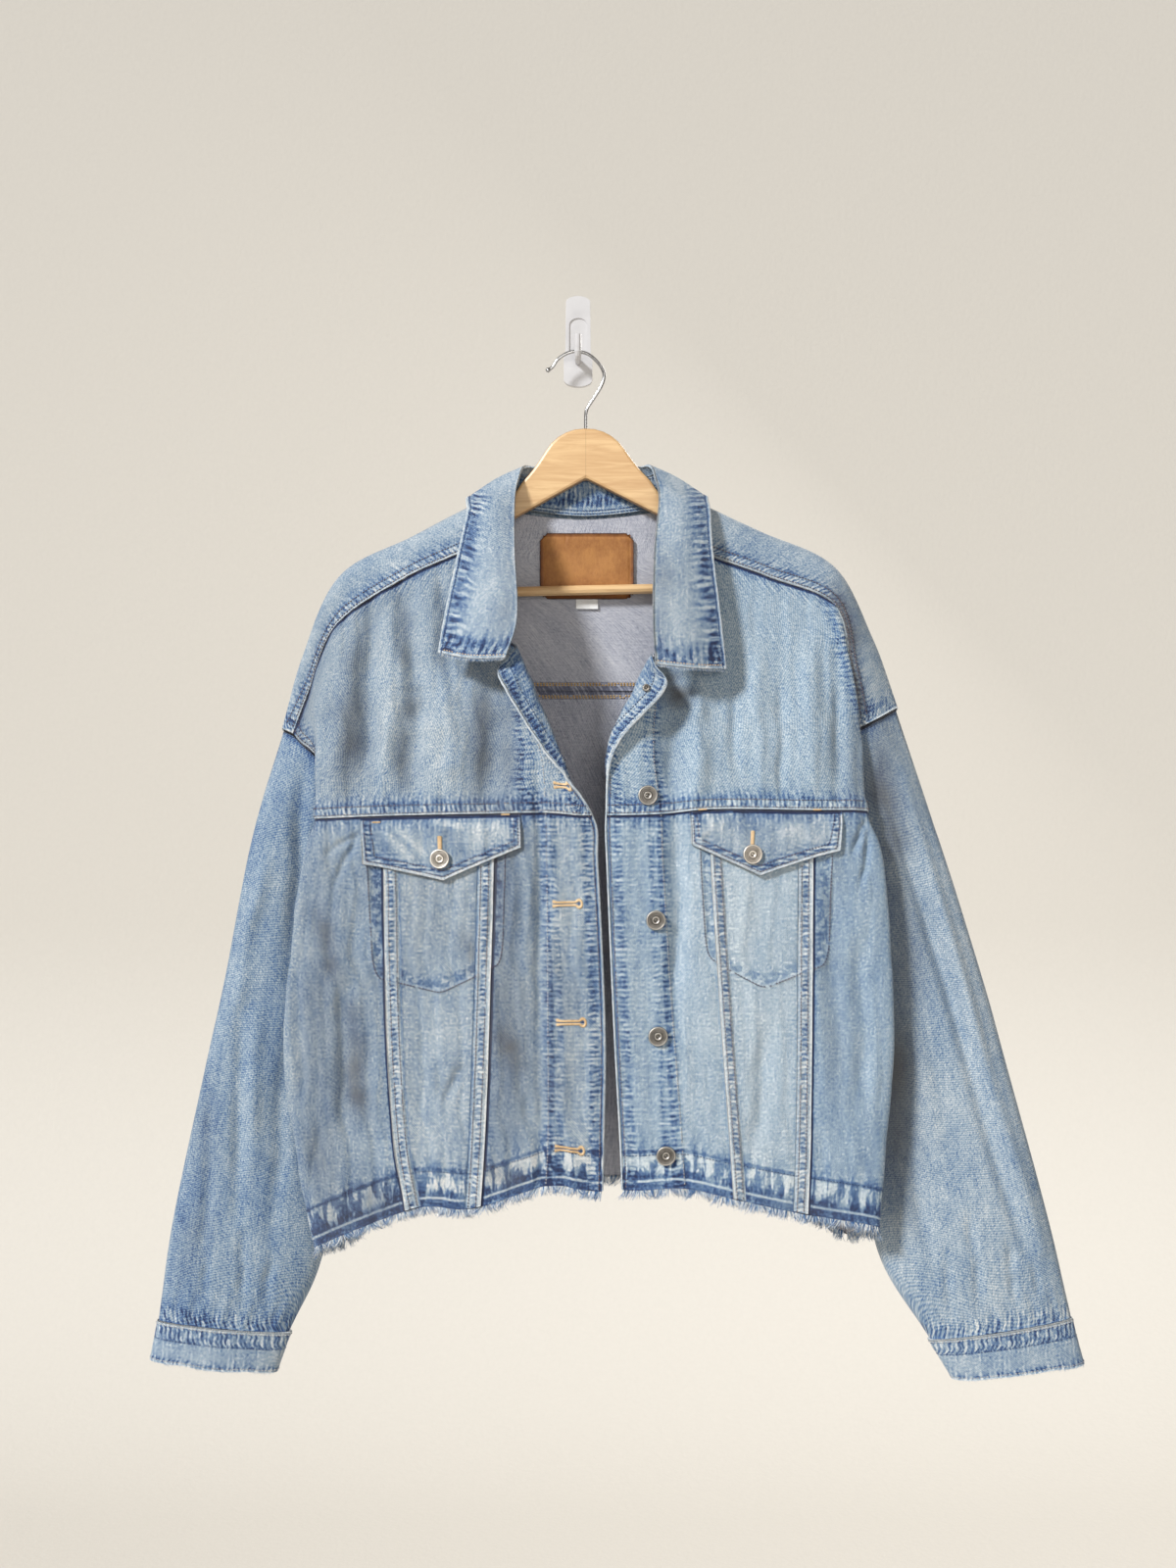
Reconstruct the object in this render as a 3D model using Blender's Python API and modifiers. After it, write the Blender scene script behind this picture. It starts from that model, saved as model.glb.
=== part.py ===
"""A washed denim jacket on a wooden hanger, hung from a wall hook.

Frame: metres, +Z up. The wall is the plane y = 0 and the jacket faces -Y. The origin is
the centre of the wall hook's back face. The tables below are in millimetres, and each
point in them is (x, distance out from the wall, z).
"""

import math

import bmesh
import bpy
import numpy as np
from mathutils import Vector

MM = 0.001
TOWARDS_WALL = (0, 1, 0)
SEAM_GAP = 0.2 * MM          # each panel stops this far short of its seam line
SHOULDER_GAP = 0.8 * MM      # the front yoke stops this far below the shoulder seam
LAYER_GAP = 0.3 * MM         # between two layers that lie on each other
CLOTH = 1.3 * MM             # one layer of heavy twill
FACING = 1.1 * MM
FACING_GAP = 2 * MM          # the facing bulges a little off its panel
POCKETING = 0.9 * MM
POCKETING_GAP = 0.5 * MM
BAND = 1.2 * MM              # lapped allowance of a felled seam
DOUBLE_CLOTH = 2.4 * MM      # flap, collar and cuff are two layers
STAND = 1.8 * MM
FRINGE_REACH = 7 * MM
FLAP_LIFT = LAYER_GAP + BAND + LAYER_GAP + DOUBLE_CLOTH   # its face, above the panel's

# Front panels: rows run from the shoulder seam to the hem, columns from the front edge
# to the side seam. "roll" is the line where the lapel turns back.
FRONT_ROWS = ("shoulder", "chest", "breast", "yoke", "underarm", "waist", "low", "hem")
FRONT_COLUMNS = ("edge", "roll", "placket", "inner", "outer", "fold", "side")
YOKE_ROW = FRONT_ROWS.index("yoke")
UNDERARM_ROW = FRONT_ROWS.index("underarm")
HEM_ROW = FRONT_ROWS.index("hem")
BESIDE_ROLL = (0.8, 1.2)     # extra columns that keep the lapel's roll round
PLACKET, INNER, OUTER, FOLD, SIDE = (
    FRONT_COLUMNS.index(c) for c in ("placket", "inner", "outer", "fold", "side")
)
# How far each crossing stands out from the wall; the two fronts share it but for the
# shoulder rows of the side columns.
FRONT_OUT = (
    (92, 86, 72, 40, 40, 36, 31),
    (104, 96, 86, 72, 60, 50, 34),
    (104, 98, 94, 86, 72, 60, 38),
    (100, 100, 98, 92, 80, 68, 42),
    (99, 99, 98, 94, 84, 72, 42),
    (97, 97, 96, 92, 84, 74, 40),
    (94, 94, 93, 90, 82, 72, 38),
    (92, 92, 91, 88, 80, 68, 36),
)
RIGHT_SIDE_OUT = {0: (42, 40), 1: (52, 46), 2: (58, 46)}
LEFT_X = (
    (-68, -54, -66, -81, -171, -216, -255),
    (-63, -40, -55, -78, -166, -222, -247),
    (-30, -17, -33, -78, -164, -226, -230),
    (12, -1, -28, -78, -163, -229, -209),
    (17, 3, -27, -79, -161, -240, -207),
    (23, 8, -26, -83, -158, -255, -211),
    (22, 7, -26, -87, -152, -246, -209),
    (21, 6, -28, -91, -142, -229, -208),
)
LEFT_Z = (
    (-306, -288, -268, -185, -230, -263, -359),
    (-321, -319, -320, -311, -318, -322, -367),
    (-374, -375, -375, -375, -377, -377, -384),
    (-431, -431, -429, -430, -432, -435, -436),
    (-478, -478, -478, -478, -478, -478, -478),
    (-615, -615, -615, -615, -616, -618, -623),
    (-708, -708, -706, -710, -713, -717, -724),
    (-755, -754, -751, -771, -773, -809, -812),
)
RIGHT_X = (
    (73, 65, 77, 94, 194, 225, 231),
    (73, 51, 70, 96, 196, 238, 242),
    (32, 29, 66, 111, 200, 247, 249),
    (25, 39, 72, 119, 198, 252, 240),
    (26, 41, 74, 120, 197, 267, 237),
    (32, 48, 83, 129, 196, 275, 241),
    (37, 54, 90, 136, 195, 269, 241),
    (39, 56, 93, 140, 193, 263, 240),
)
RIGHT_Z = (
    (-312, -296, -275, -189, -231, -243, -250),
    (-326, -321, -320, -311, -318, -308, -308),
    (-375, -374, -375, -375, -375, -372, -354),
    (-431, -431, -430, -426, -427, -428, -436),
    (-478, -478, -478, -478, -478, -478, -478),
    (-615, -615, -615, -615, -616, -618, -623),
    (-708, -708, -708, -708, -710, -712, -724),
    (-754, -754, -753, -764, -777, -792, -806),
)

# Back yoke: one row for each station from the left armhole over the neck to the right
# one. Each has the yoke seam, blade, rear of the shoulder, ridge, fore and the top edge,
# which is the shoulder seam or the neck seam.
BACK_YOKE = (
    ((-250, 13, -386), (-256, 13, -376), (-262, 16, -364), (-266, 25, -355),
     (-262, 29, -356), (-255, 31, -359)),
    ((-225, 12, -360), (-236, 12, -330), (-244, 15, -300), (-247, 24, -290),
     (-247, 31, -297), (-241, 34, -323)),
    ((-195, 11.5, -338), (-206, 12, -280), (-212, 14, -228), (-214, 22, -217),
     (-216, 32, -228), (-216, 36, -263)),
    ((-140, 11.5, -324), (-145, 11.5, -260), (-148, 13, -190), (-150, 22, -182),
     (-152, 32, -192), (-154, 40, -221)),
    ((-80, 11.5, -321), (-82, 11.5, -250), (-85, 13, -161), (-86, 22, -151),
     (-85, 33, -161), (-81, 40, -185)),
    ((-62, 11.5, -320), (-66, 11.5, -250), (-74, 12, -178), (-78, 14, -160),
     (-80, 17, -150), (-81, 22, -146)),
    ((-48, 11.5, -320), (-52, 11.5, -255), (-58, 11.5, -205), (-62, 11.5, -182),
     (-65, 12, -168), (-66, 12.5, -157)),
    ((6, 11.5, -320), (6, 11.5, -258), (6, 11.5, -210), (6, 11.5, -188),
     (6, 11.5, -175), (6, 12, -165)),
    ((62, 11.5, -320), (66, 11.5, -255), (73, 11.5, -205), (77, 11.5, -182),
     (81, 12, -167), (82, 12.5, -156)),
    ((76, 11.5, -320), (80, 11.5, -250), (88, 12, -177), (92, 14, -159),
     (94, 17, -149), (95, 22, -145)),
    ((95, 11.5, -320), (96, 11.5, -248), (100, 13, -160), (101, 22, -150),
     (99, 33, -161), (94, 40, -189)),
    ((155, 11.5, -322), (160, 11.5, -255), (164, 13, -188), (166, 22, -178),
     (167, 32, -188), (166, 41, -219)),
    ((212, 11.5, -332), (222, 12, -275), (228, 14, -222), (230, 22, -209),
     (232, 32, -218), (229, 40, -246)),
    ((245, 12, -345), (254, 12, -315), (262, 15, -285), (265, 24, -273),
     (258, 36, -284), (243, 46, -308)),
    ((270, 13, -368), (278, 14, -356), (284, 18, -344), (287, 26, -336),
     (269, 39, -345), (250, 45, -354)),
)
YOKE_TOP_ROW = 5
YOKE_ROWS = (0, 1, 2, 2.5, 3, 3.5, 4, 5)
YOKE_STATIONS = (0, 0.5, 1, 1.5, 2, 2.5, 3, 3.5, 4, 4.5, 5, 6, 7, 8, 9, 9.5,
                 10, 10.5, 11, 11.5, 12, 12.5, 13, 13.5, 14)
# Stations that the front yoke's inner, outer, fold and side columns meet at their top.
SHOULDER_STATIONS = {"left": (4, 2.5, 1.9, 0), "right": (10, 11.5, 11.9, 12)}

# Back panel: columns from side seam to side seam, each matched to a yoke station.
BACK_STATIONS = (0, 2, 4, 7, 10, 12, 14)
BACK_PANEL = (
    ((-250, 13, -386), (-195, 11.5, -338), (-80, 11.5, -321), (6, 11.5, -320),
     (95, 11.5, -320), (212, 11.5, -332), (270, 13, -368)),
    ((-228, 14, -430), (-175, 12, -405), (-82, 11.5, -400), (6, 11.5, -400),
     (96, 11.5, -400), (192, 12, -400), (252, 15, -420)),
    ((-207, 42, -478), (-168, 13, -478), (-84, 11.5, -478), (6, 11.5, -478),
     (97, 11.5, -478), (186, 13, -478), (237, 42, -478)),
    ((-211, 40, -623), (-170, 13, -615), (-86, 12, -612), (6, 12, -610),
     (99, 12, -612), (190, 13, -615), (241, 40, -623)),
    ((-209, 38, -724), (-170, 13, -712), (-87, 12, -705), (6, 12, -702),
     (100, 12, -705), (190, 13, -710), (241, 38, -724)),
    ((-208, 36, -812), (-168, 13, -790), (-88, 12, -768), (6, 12, -760),
     (101, 12, -766), (190, 13, -786), (240, 36, -806)),
)
BACK_UNDERARM_ROW = 2
BACK_ROWS = (0, 1, 2, 2.6, 3.2, 3.8, 4.4, 5)

# Sleeves: a row for each ring below the armhole, as its outer point, inner point and
# half its depth.
SLEEVE_RINGS = {
    "left": (
        ((-289, 35, -446), (-212, 27, -525), 19),
        ((-315, 36, -579), (-213, 22, -622), 21),
        ((-332, 36, -656), (-214, 21, -690), 21),
        ((-361, 34, -791), (-228, 26, -822), 20),
        ((-376, 28, -884), (-259, 26, -895), 14),
    ),
    "right": (
        ((323, 35, -457), (242, 27, -525), 19),
        ((361, 36, -579), (248, 22, -622), 21),
        ((381, 36, -651), (253, 21, -690), 21),
        ((419, 34, -789), (268, 26, -820), 20),
        ((442, 28, -882), (316, 26, -902), 14),
    ),
}
CUFF_ENDS = {
    "left": (((-376, 28, -884), (-259, 26, -895)), ((-383, 27, -920), (-272, 25, -931))),
    "right": (((442, 28, -882), (316, 26, -902)), ((453, 27, -923), (338, 25, -938))),
}
CUFF_DEPTH = 14
CUFF_DROP = 0.8 * MM         # the cuff hangs this far below the sleeve's end
CUFF_TURNS = (-0.62, 1.52)   # from its under end round the front to its lapped end
CUFF_LAP = 0.6 * MM
FULLNESS = 0.8               # under 1 makes a sleeve's oval fuller
SLEEVE_TUCK = 3.2            # the sleeve's top lies this far inside the armhole's edge
TOP_SLEEVE_TURN = (-0.3, 1.25)   # in half turns from the outer point over the front
UNDER_SLEEVE_TURN = (1.25, 1.7)

# Collar: a row for each station from the left front end round the neck to the right
# one, with the fold, the crown and the outer edge of the fall.
COLLAR = (
    ((-62, 106, -297), (-92, 102, -297), (-120, 86, -291)),
    ((-52, 98, -261), (-84, 94, -262), (-115, 80, -259)),
    ((-55, 76, -200), (-80, 74, -199), (-104, 62, -198)),
    ((-56, 49, -152), (-78, 51, -157), (-98, 44, -163)),
    ((-53, 34, -130), (-76, 36, -142), (-99, 34, -154)),
    ((-49, 22, -118), (-73, 22, -129), (-99, 23, -147)),
    ((-40, 13, -117), (-62, 11, -132), (-90, 9.5, -156)),
    ((-24, 10, -117), (-40, 6.5, -142), (-60, 6.5, -178)),
    ((6, 9, -117), (6, 6.5, -143), (6, 6.5, -184)),
    ((38, 10, -117), (54, 6.5, -142), (74, 6.5, -178)),
    ((56, 13, -117), (78, 11, -132), (106, 9.5, -155)),
    ((65, 22, -117), (89, 22, -128), (115, 23, -146)),
    ((69, 34, -129), (92, 36, -141), (116, 34, -152)),
    ((72, 49, -152), (93, 51, -157), (117, 44, -162)),
    ((67, 76, -200), (92, 74, -199), (118, 62, -199)),
    ((65, 98, -261), (95, 94, -263), (124, 80, -262)),
    ((67, 106, -302), (97, 102, -305), (128, 86, -305)),
)
# Collar stand: the neck seam and the top edge under the collar's fold.
COLLAR_STAND = (
    ((-65, 75, -266), (-56, 90, -270)),
    ((-73, 59, -228), (-57, 82, -234)),
    ((-79, 46, -185), (-58, 66, -196)),
    ((-81, 36, -162), (-59, 44, -159)),
    ((-82, 29, -151), (-58, 31, -136)),
    ((-81, 22, -144), (-55, 22, -125)),
    ((-69, 13.8, -152), (-48, 13.6, -127)),
    ((-44, 13.6, -157), (-29, 13.4, -128)),
    ((6, 13.4, -162), (6, 13.2, -128)),
    ((59, 13.6, -157), (43, 13.4, -128)),
    ((84, 13.8, -151), (63, 13.6, -126)),
    ((95, 22, -143), (71, 22, -124)),
    ((96, 29, -150), (74, 31, -135)),
    ((95, 36, -163), (75, 44, -159)),
    ((92, 46, -188), (71, 66, -196)),
    ((86, 59, -233), (69, 82, -236)),
    ((77, 75, -274), (69, 90, -279)),
)

# Pocket flaps and bags as (column, row) on the front's net, from the outer end over the
# point to the inner end, with the row of the lower edge, and a flap's upper corners.
FLAP_TOP_ROW = 3.03
FLAP = {
    "left": ((4.27, 3.95), (3.46, 4.09), (2.48, 3.73)),
    "right": ((4.37, 3.80), (3.49, 4.05), (2.60, 3.70)),
}
FLAP_TOP = {"left": (4.32, 2.50), "right": (4.48, 2.58)}
BAG = {
    "left": ((4.18, 4.68), (3.51, 4.77), (2.74, 4.59)),
    "right": ((4.25, 4.60), (3.52, 4.74), (2.74, 4.55)),
}
BAG_TOP = {"left": (4.29, 2.72), "right": (4.32, 2.76)}
BAG_TOP_ROW = 3.08
BAND_WIDTH = {("inner", "left"): 14.5, ("outer", "left"): 12.5,
              ("inner", "right"): 11.5, ("outer", "right"): 12.0}
BAND_TOP_ROW = 3.06

# Buttons as (x, z) on the right front, and one on each flap.
BUTTON_RADIUS = 8.5
FRONT_BUTTONS = ((60, -415), (67, -520), (69, -620), (76, -724))
TURNED_BUTTON = (0.5, 1.0)  # column and row on the turned lapel
TURNED_BUTTON_LIFT = 0.5 * MM     # its cap bridges the hollow of the lapel's roll
FLAP_BUTTONS = {"left": (3.49, 3.89), "right": (3.41, 3.84)}
BUTTON_PROFILE = (
    (0, 3.2), (2.4, 3.1), (3.2, 2.5), (6.4, 2.6), (7.5, 3.1), (8.3, 2.7),
    (8.5, 2.0), (7.8, 1.2), (3.6, 1.0), (3.2, 0), (0, 0),
)
TACK_PROFILE = ((0, 1.3), (2.2, 1.2), (3.4, 0.6), (3.4, 0), (0, 0))
CUFF_BUTTON_SHARE = 0.955    # how far round the cuff its button stands
CUFF_BUTTON_RADIUS = 7

# Leather patch and care label inside the back yoke.
PATCH_SIZE = (84, 59)
PATCH_CENTRE = (8, -207.5)
PATCH_CORNER = 6
PATCH_BACK = 13.2
PATCH_THICK = 1.6
LABEL_SIZE = (20, 9)
LABEL_THICK = 0.7

# Hanger.
HANGER_CENTRE_X = 7
HANGER_OUT = 22
HANGER_THICK = 11.5
HANGER_TILT = math.radians(1.2)
HANGER_PIVOT_Z = -130
HANGER_BEVEL = 2.4
HANGER_TOP = (               # half outline from the crown to the arm's end
    (0, -85), (9, -85.7), (17, -88.3), (24, -92.2), (30.5, -97.8), (36, -105), (41, -112.6),
    (46, -119.5), (51.5, -126), (58, -133), (68, -148),
    (78, -158), (90, -164), (112, -173), (150, -189), (190, -207), (206, -216.5),
    (216, -225), (220, -233),
)
HANGER_UNDER = (             # and back along its underside to the middle
    (220, -241), (214, -248), (205, -249), (190, -241), (150, -219), (110, -195),
    (66, -165), (0, -130),
)
BAR_Z = -230
BAR_RADIUS = 4.5
BAR_HALF = 198
BAR_SOCKET = 0.35
WIRE_RADIUS = 1.5
WIRE = (                     # (x, z) from the tip over the prong to the crown
    (-29, -33), (-23, -29), (-18, -22), (-10, -16.8), (-2, -15), (8, -17), (16, -23),
    (22, -31), (23.5, -38), (20, -48), (13, -59), (8, -67), (7, -74), (7, -84.6),
)

# Wall hook.
PLATE_THICK = 4
FOOT_THICK = 5.2
FOOT_RISE_Z = -12
RECESS_WIDTH = 16.4
RECESS_TOP_Z = 20
RECESS_DEPTH = 1.2
PLATE_TOP_WIDTH = 22
PLATE_FOOT_WIDTH = 26
PLATE_TOP_Z = 40
PLATE_FOOT_Z = -43
PLATE_BEVEL = 1.2
PRONG_RADIUS = 3.0
PRONG = (                    # (distance out, z) from inside the plate to the tip
    (3, -20.4), (12, -20.4), (20, -20.4), (23.4, -20), (26, -18.4), (28, -15.4),
    (28.8, -11), (28.8, -6), (28.8, -1),
)

COLOURS = {                  # base colour, roughness, metallic
    "denim": ((0.36, 0.48, 0.62), 0.9, 0.0),
    "denim_inside": ((0.32, 0.36, 0.44), 0.92, 0.0),
    "fringe": ((0.55, 0.63, 0.72), 0.95, 0.0),
    "leather": ((0.46, 0.25, 0.09), 0.6, 0.0),
    "label": ((0.85, 0.85, 0.83), 0.8, 0.0),
    "maple": ((0.80, 0.55, 0.30), 0.45, 0.0),
    "chrome": ((0.62, 0.62, 0.63), 0.18, 1.0),
    "plastic": ((0.86, 0.86, 0.88), 0.3, 0.0),
    "pewter": ((0.42, 0.38, 0.31), 0.4, 1.0),
}


def clear_scene():
    for old in list(bpy.data.objects):
        bpy.data.objects.remove(old)


def new_collection(name):
    found = bpy.data.collections.new(name)
    bpy.context.scene.collection.children.link(found)
    return found


def finish_of(name, material_name):
    """A Principled material of the piece's own, in one of the finishes above."""
    colour, roughness, metallic = COLOURS[material_name]
    material = bpy.data.materials.new(f"{name}_{material_name}")
    material.use_nodes = True
    shader = material.node_tree.nodes["Principled BSDF"]
    shader.inputs["Base Color"].default_value = (*colour, 1)
    shader.inputs["Roughness"].default_value = roughness
    shader.inputs["Metallic"].default_value = metallic
    return material


def place(name, mesh, material_name, collection):
    piece = bpy.data.objects.new(name, mesh)
    collection.objects.link(piece)
    mesh.materials.clear()
    mesh.materials.append(finish_of(name, material_name))
    return piece


def curve_weights(at, count):
    """Share of each of count points in a Catmull-Rom curve at fractional places.

    The points beyond the ends repeat the last step, so the curve runs on straight.
    """
    padded = np.vstack([np.eye(count)[:1] * 2 - np.eye(count)[1:2], np.eye(count),
                        np.eye(count)[-1:] * 2 - np.eye(count)[-2:-1]])
    first = np.clip(np.floor(at).astype(int), 0, count - 2)
    t = (at - first)[:, None]
    p0, p1, p2, p3 = (padded[first + k] for k in range(4))
    return 0.5 * (2 * p1 + (p2 - p0) * t + (2 * p0 - 5 * p1 + 4 * p2 - p3) * t ** 2
                  + (3 * p1 - p0 - 3 * p2 + p3) * t ** 3)


class Net:
    """A smooth surface through a table of points; its outward side is +1 or -1."""

    def __init__(self, points, outward):
        table = np.array(points, dtype=float)
        self.points = table * (MM, -MM, MM)
        self.outward = outward

    def at(self, rows, columns):
        rows, columns = np.broadcast_arrays(np.asarray(rows, float), columns)
        row_share = curve_weights(rows.ravel(), self.points.shape[0])
        column_share = curve_weights(columns.ravel(), self.points.shape[1])
        found = np.einsum("kr,kc,rcx->kx", row_share, column_share, self.points)
        return found.reshape(rows.shape + (3,))

    def normal(self, rows, columns):
        step = 0.02
        down = self.at(rows + step, columns) - self.at(rows - step, columns)
        across = self.at(rows, columns + step) - self.at(rows, columns - step)
        normal = np.cross(across, down) * self.outward
        return normal / np.linalg.norm(normal, axis=-1, keepdims=True)

    def layer(self, rows, columns, lift):
        """The surface moved out along its normal by lift."""
        rows, columns = np.broadcast_arrays(np.asarray(rows, float), columns)
        return self.at(rows, columns) + lift * self.normal(rows, columns)

    def place_of(self, x, z, columns):
        """Row and column of the point that lies nearest to x and z, seen from the front."""
        rows, columns = np.meshgrid(
            np.linspace(0, self.points.shape[0] - 1, 281),
            np.linspace(columns[0], columns[1], 201), indexing="ij")
        found = self.at(rows, columns)
        miss = (found[..., 0] - x * MM) ** 2 + (found[..., 2] - z * MM) ** 2
        best = np.unravel_index(np.argmin(miss), miss.shape)
        return rows[best], columns[best]


def grid_of(rows, columns):
    return np.meshgrid(rows, columns, indexing="ij")


def drawn_in(points, gap=SEAM_GAP):
    """The same grid with its four edges pulled in by the seam gap."""
    points = points.copy()

    def step(edge, inner):
        way = inner - edge
        length = np.linalg.norm(way, axis=-1, keepdims=True)
        return way / np.maximum(length, 1e-9) * gap

    points[0] += step(points[0], points[1])
    points[-1] += step(points[-1], points[-2])
    points[:, 0] += step(points[:, 0], points[:, 1])
    points[:, -1] += step(points[:, -1], points[:, -2])
    return points


def cloth(name, points, thickness, outward, material_name, collection):
    """A wall of cloth: a grid moved to the points, its outer face, thickened inwards."""
    row_count, column_count = points.shape[:2]
    bm = bmesh.new()
    bmesh.ops.create_grid(bm, x_segments=column_count - 1, y_segments=row_count - 1, size=1)
    for vertex in bm.verts:
        column = round((vertex.co.x + 1) / 2 * (column_count - 1))
        row = round((vertex.co.y + 1) / 2 * (row_count - 1))
        vertex.co = Vector(points[row, column])
    mesh = bpy.data.meshes.new(name)
    bm.to_mesh(mesh)
    bm.free()
    mesh.shade_smooth()
    piece = place(name, mesh, material_name, collection)
    wall = piece.modifiers.new("wall", "SOLIDIFY")
    wall.thickness = thickness
    wall.offset = -outward
    wall.use_quality_normals = True
    return piece


def front_net(side):
    """The whole front of one side, from its table of sections."""
    out = [list(row) for row in FRONT_OUT]
    x_table, z_table = (LEFT_X, LEFT_Z) if side == "left" else (RIGHT_X, RIGHT_Z)
    if side == "right":
        for row, (fold, seam) in RIGHT_SIDE_OUT.items():
            out[row][FOLD], out[row][SIDE] = fold, seam
    points = np.stack([np.array(x_table), np.array(out), np.array(z_table)], axis=-1)
    return Net(points, 1 if side == "left" else -1)


def fronts(side, net, back_yoke, collection):
    """Yoke, centre, middle and side panels, the facing, bands, flap, bag and fringe."""
    yoke_rows, panel_rows = np.linspace(0, YOKE_ROW, 10), np.linspace(YOKE_ROW, HEM_ROW, 10)
    centre = np.linspace(0, INNER, 7)
    middle = np.linspace(INNER, OUTER, 4)
    sides = np.linspace(OUTER, SIDE, 7)
    lapel = np.sort(np.append(centre, BESIDE_ROLL))
    columns = np.concatenate([lapel, middle[1:], sides[1:]])
    rows, across = grid_of(yoke_rows, columns)
    yoke = on_shoulder_seam(side, net.at(rows, across), rows, across, back_yoke)
    cloth(f"front_yoke_{side}", drawn_in(yoke), CLOTH, net.outward, "denim", collection)
    for panel, columns in (("centre", centre), ("middle", middle), ("side", sides)):
        points = net.at(*grid_of(panel_rows, columns))
        cloth(f"front_{panel}_{side}", drawn_in(points), CLOTH, net.outward, "denim",
              collection)

    facing_rows = np.concatenate([yoke_rows, panel_rows[1:]])
    facing = net.layer(*grid_of(facing_rows, lapel[lapel <= PLACKET]), -CLOTH - FACING_GAP)
    cloth(f"front_facing_{side}", drawn_in(facing), FACING, net.outward, "denim_inside",
          collection)

    for band, column in (("inner", INNER), ("outer", OUTER)):
        strip = seam_band(net, column, BAND_WIDTH[band, side] * MM)
        cloth(f"seam_band_{band}_{side}", strip, BAND, net.outward, "denim", collection)

    flap = hung_piece(net, FLAP[side], FLAP_TOP[side], FLAP_TOP_ROW, 9, 4, FLAP_LIFT)
    cloth(f"pocket_flap_{side}", flap, DOUBLE_CLOTH, net.outward, "denim", collection)
    bag = hung_piece(net, BAG[side], BAG_TOP[side], BAG_TOP_ROW, 9, 6, -CLOTH - POCKETING_GAP)
    cloth(f"pocket_bag_{side}", bag, POCKETING, net.outward, "denim_inside", collection)

    columns = np.concatenate([centre, middle[1:], sides[1:]])
    fringe = drawn_in(fringe_below(net, HEM_ROW, columns))
    cloth(f"fringe_{side}", fringe, CLOTH, net.outward, "fringe", collection)


def on_shoulder_seam(side, points, rows, columns, back_yoke):
    """The front yoke with its top edge, and the right one's side edge, on the back yoke.

    Each edge point moves onto the back yoke's edge and takes the rows or columns beside
    it along, by a share that fades out.
    """
    seam = np.interp(columns[0], (INNER, OUTER, FOLD, SIDE), SHOULDER_STATIONS[side])
    below = points[1] - points[0]
    below /= np.linalg.norm(below, axis=-1, keepdims=True)
    target = yoke_edge(back_yoke, seam) + below * SHOULDER_GAP
    shift = np.where(columns[0][:, None] >= INNER, target - points[0], 0)
    points = points + shift * (np.clip(1 - rows, 0, 1) ** 2)[..., None]
    if side == "right":
        first, last = SHOULDER_STATIONS[side][-1], YOKE_STATIONS[-1]
        upper = rows[:, 0] <= last - first
        edge = yoke_edge(back_yoke, first + np.clip(rows[:, 0], 0, last - first))
        edge -= (SHOULDER_GAP, 0, 0)
        shift = np.where(upper[:, None], edge - points[:, -1], 0)
        fade = np.clip((columns - OUTER) / (SIDE - OUTER), 0, 1)
        points = points + shift[:, None] * (fade ** 2)[..., None]
    return points


def yoke_edge(back_yoke, at):
    """Points on the straight steps between the back yoke's stations, along its top edge."""
    stations = np.array(YOKE_STATIONS, float)
    edge = back_yoke.at(np.full_like(stations, YOKE_TOP_ROW), stations)
    return np.stack([np.interp(at, stations, edge[:, k]) for k in range(3)], axis=-1)


def seam_band(net, column, width):
    """A strip along a panel seam, from under the flap to the hem, lifted off the cloth."""
    rows = np.linspace(BAND_TOP_ROW, HEM_ROW, 11)[:, None]
    columns = np.full_like(rows, column)
    middle = net.layer(rows, columns, LAYER_GAP + BAND)
    across = net.at(rows, columns + 0.05) - net.at(rows, columns - 0.05)
    across /= np.linalg.norm(across, axis=-1, keepdims=True)
    return middle + across * np.array([-0.5, 0.5])[None, :, None] * width


def hung_piece(net, outline, top, top_row, across, down, lift):
    """A pocket piece with a pointed lower edge, on the panel's own points moved out."""
    lower = np.linspace(outline[0][0], outline[2][0], across)
    upper = np.linspace(*top, across)
    stops = [c for c, _ in outline][::-1]
    lowest = np.interp(lower, stops, [row for _, row in outline][::-1])
    share = np.linspace(0, 1, down)[:, None]
    rows = top_row + share * (lowest - top_row)
    points = net.layer(rows, upper + share * (lower - upper), lift)
    return points[:, ::-1]


def fringe_below(net, row, columns):
    """The plain solid of the frayed edge's reach, hanging below a hem."""
    edge = net.at(np.full_like(columns, row), columns)
    down = edge - net.at(np.full_like(columns, row - 0.05), columns)
    down /= np.linalg.norm(down, axis=-1, keepdims=True)
    return np.stack([edge + down * LAYER_GAP, edge + down * FRINGE_REACH])


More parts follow.
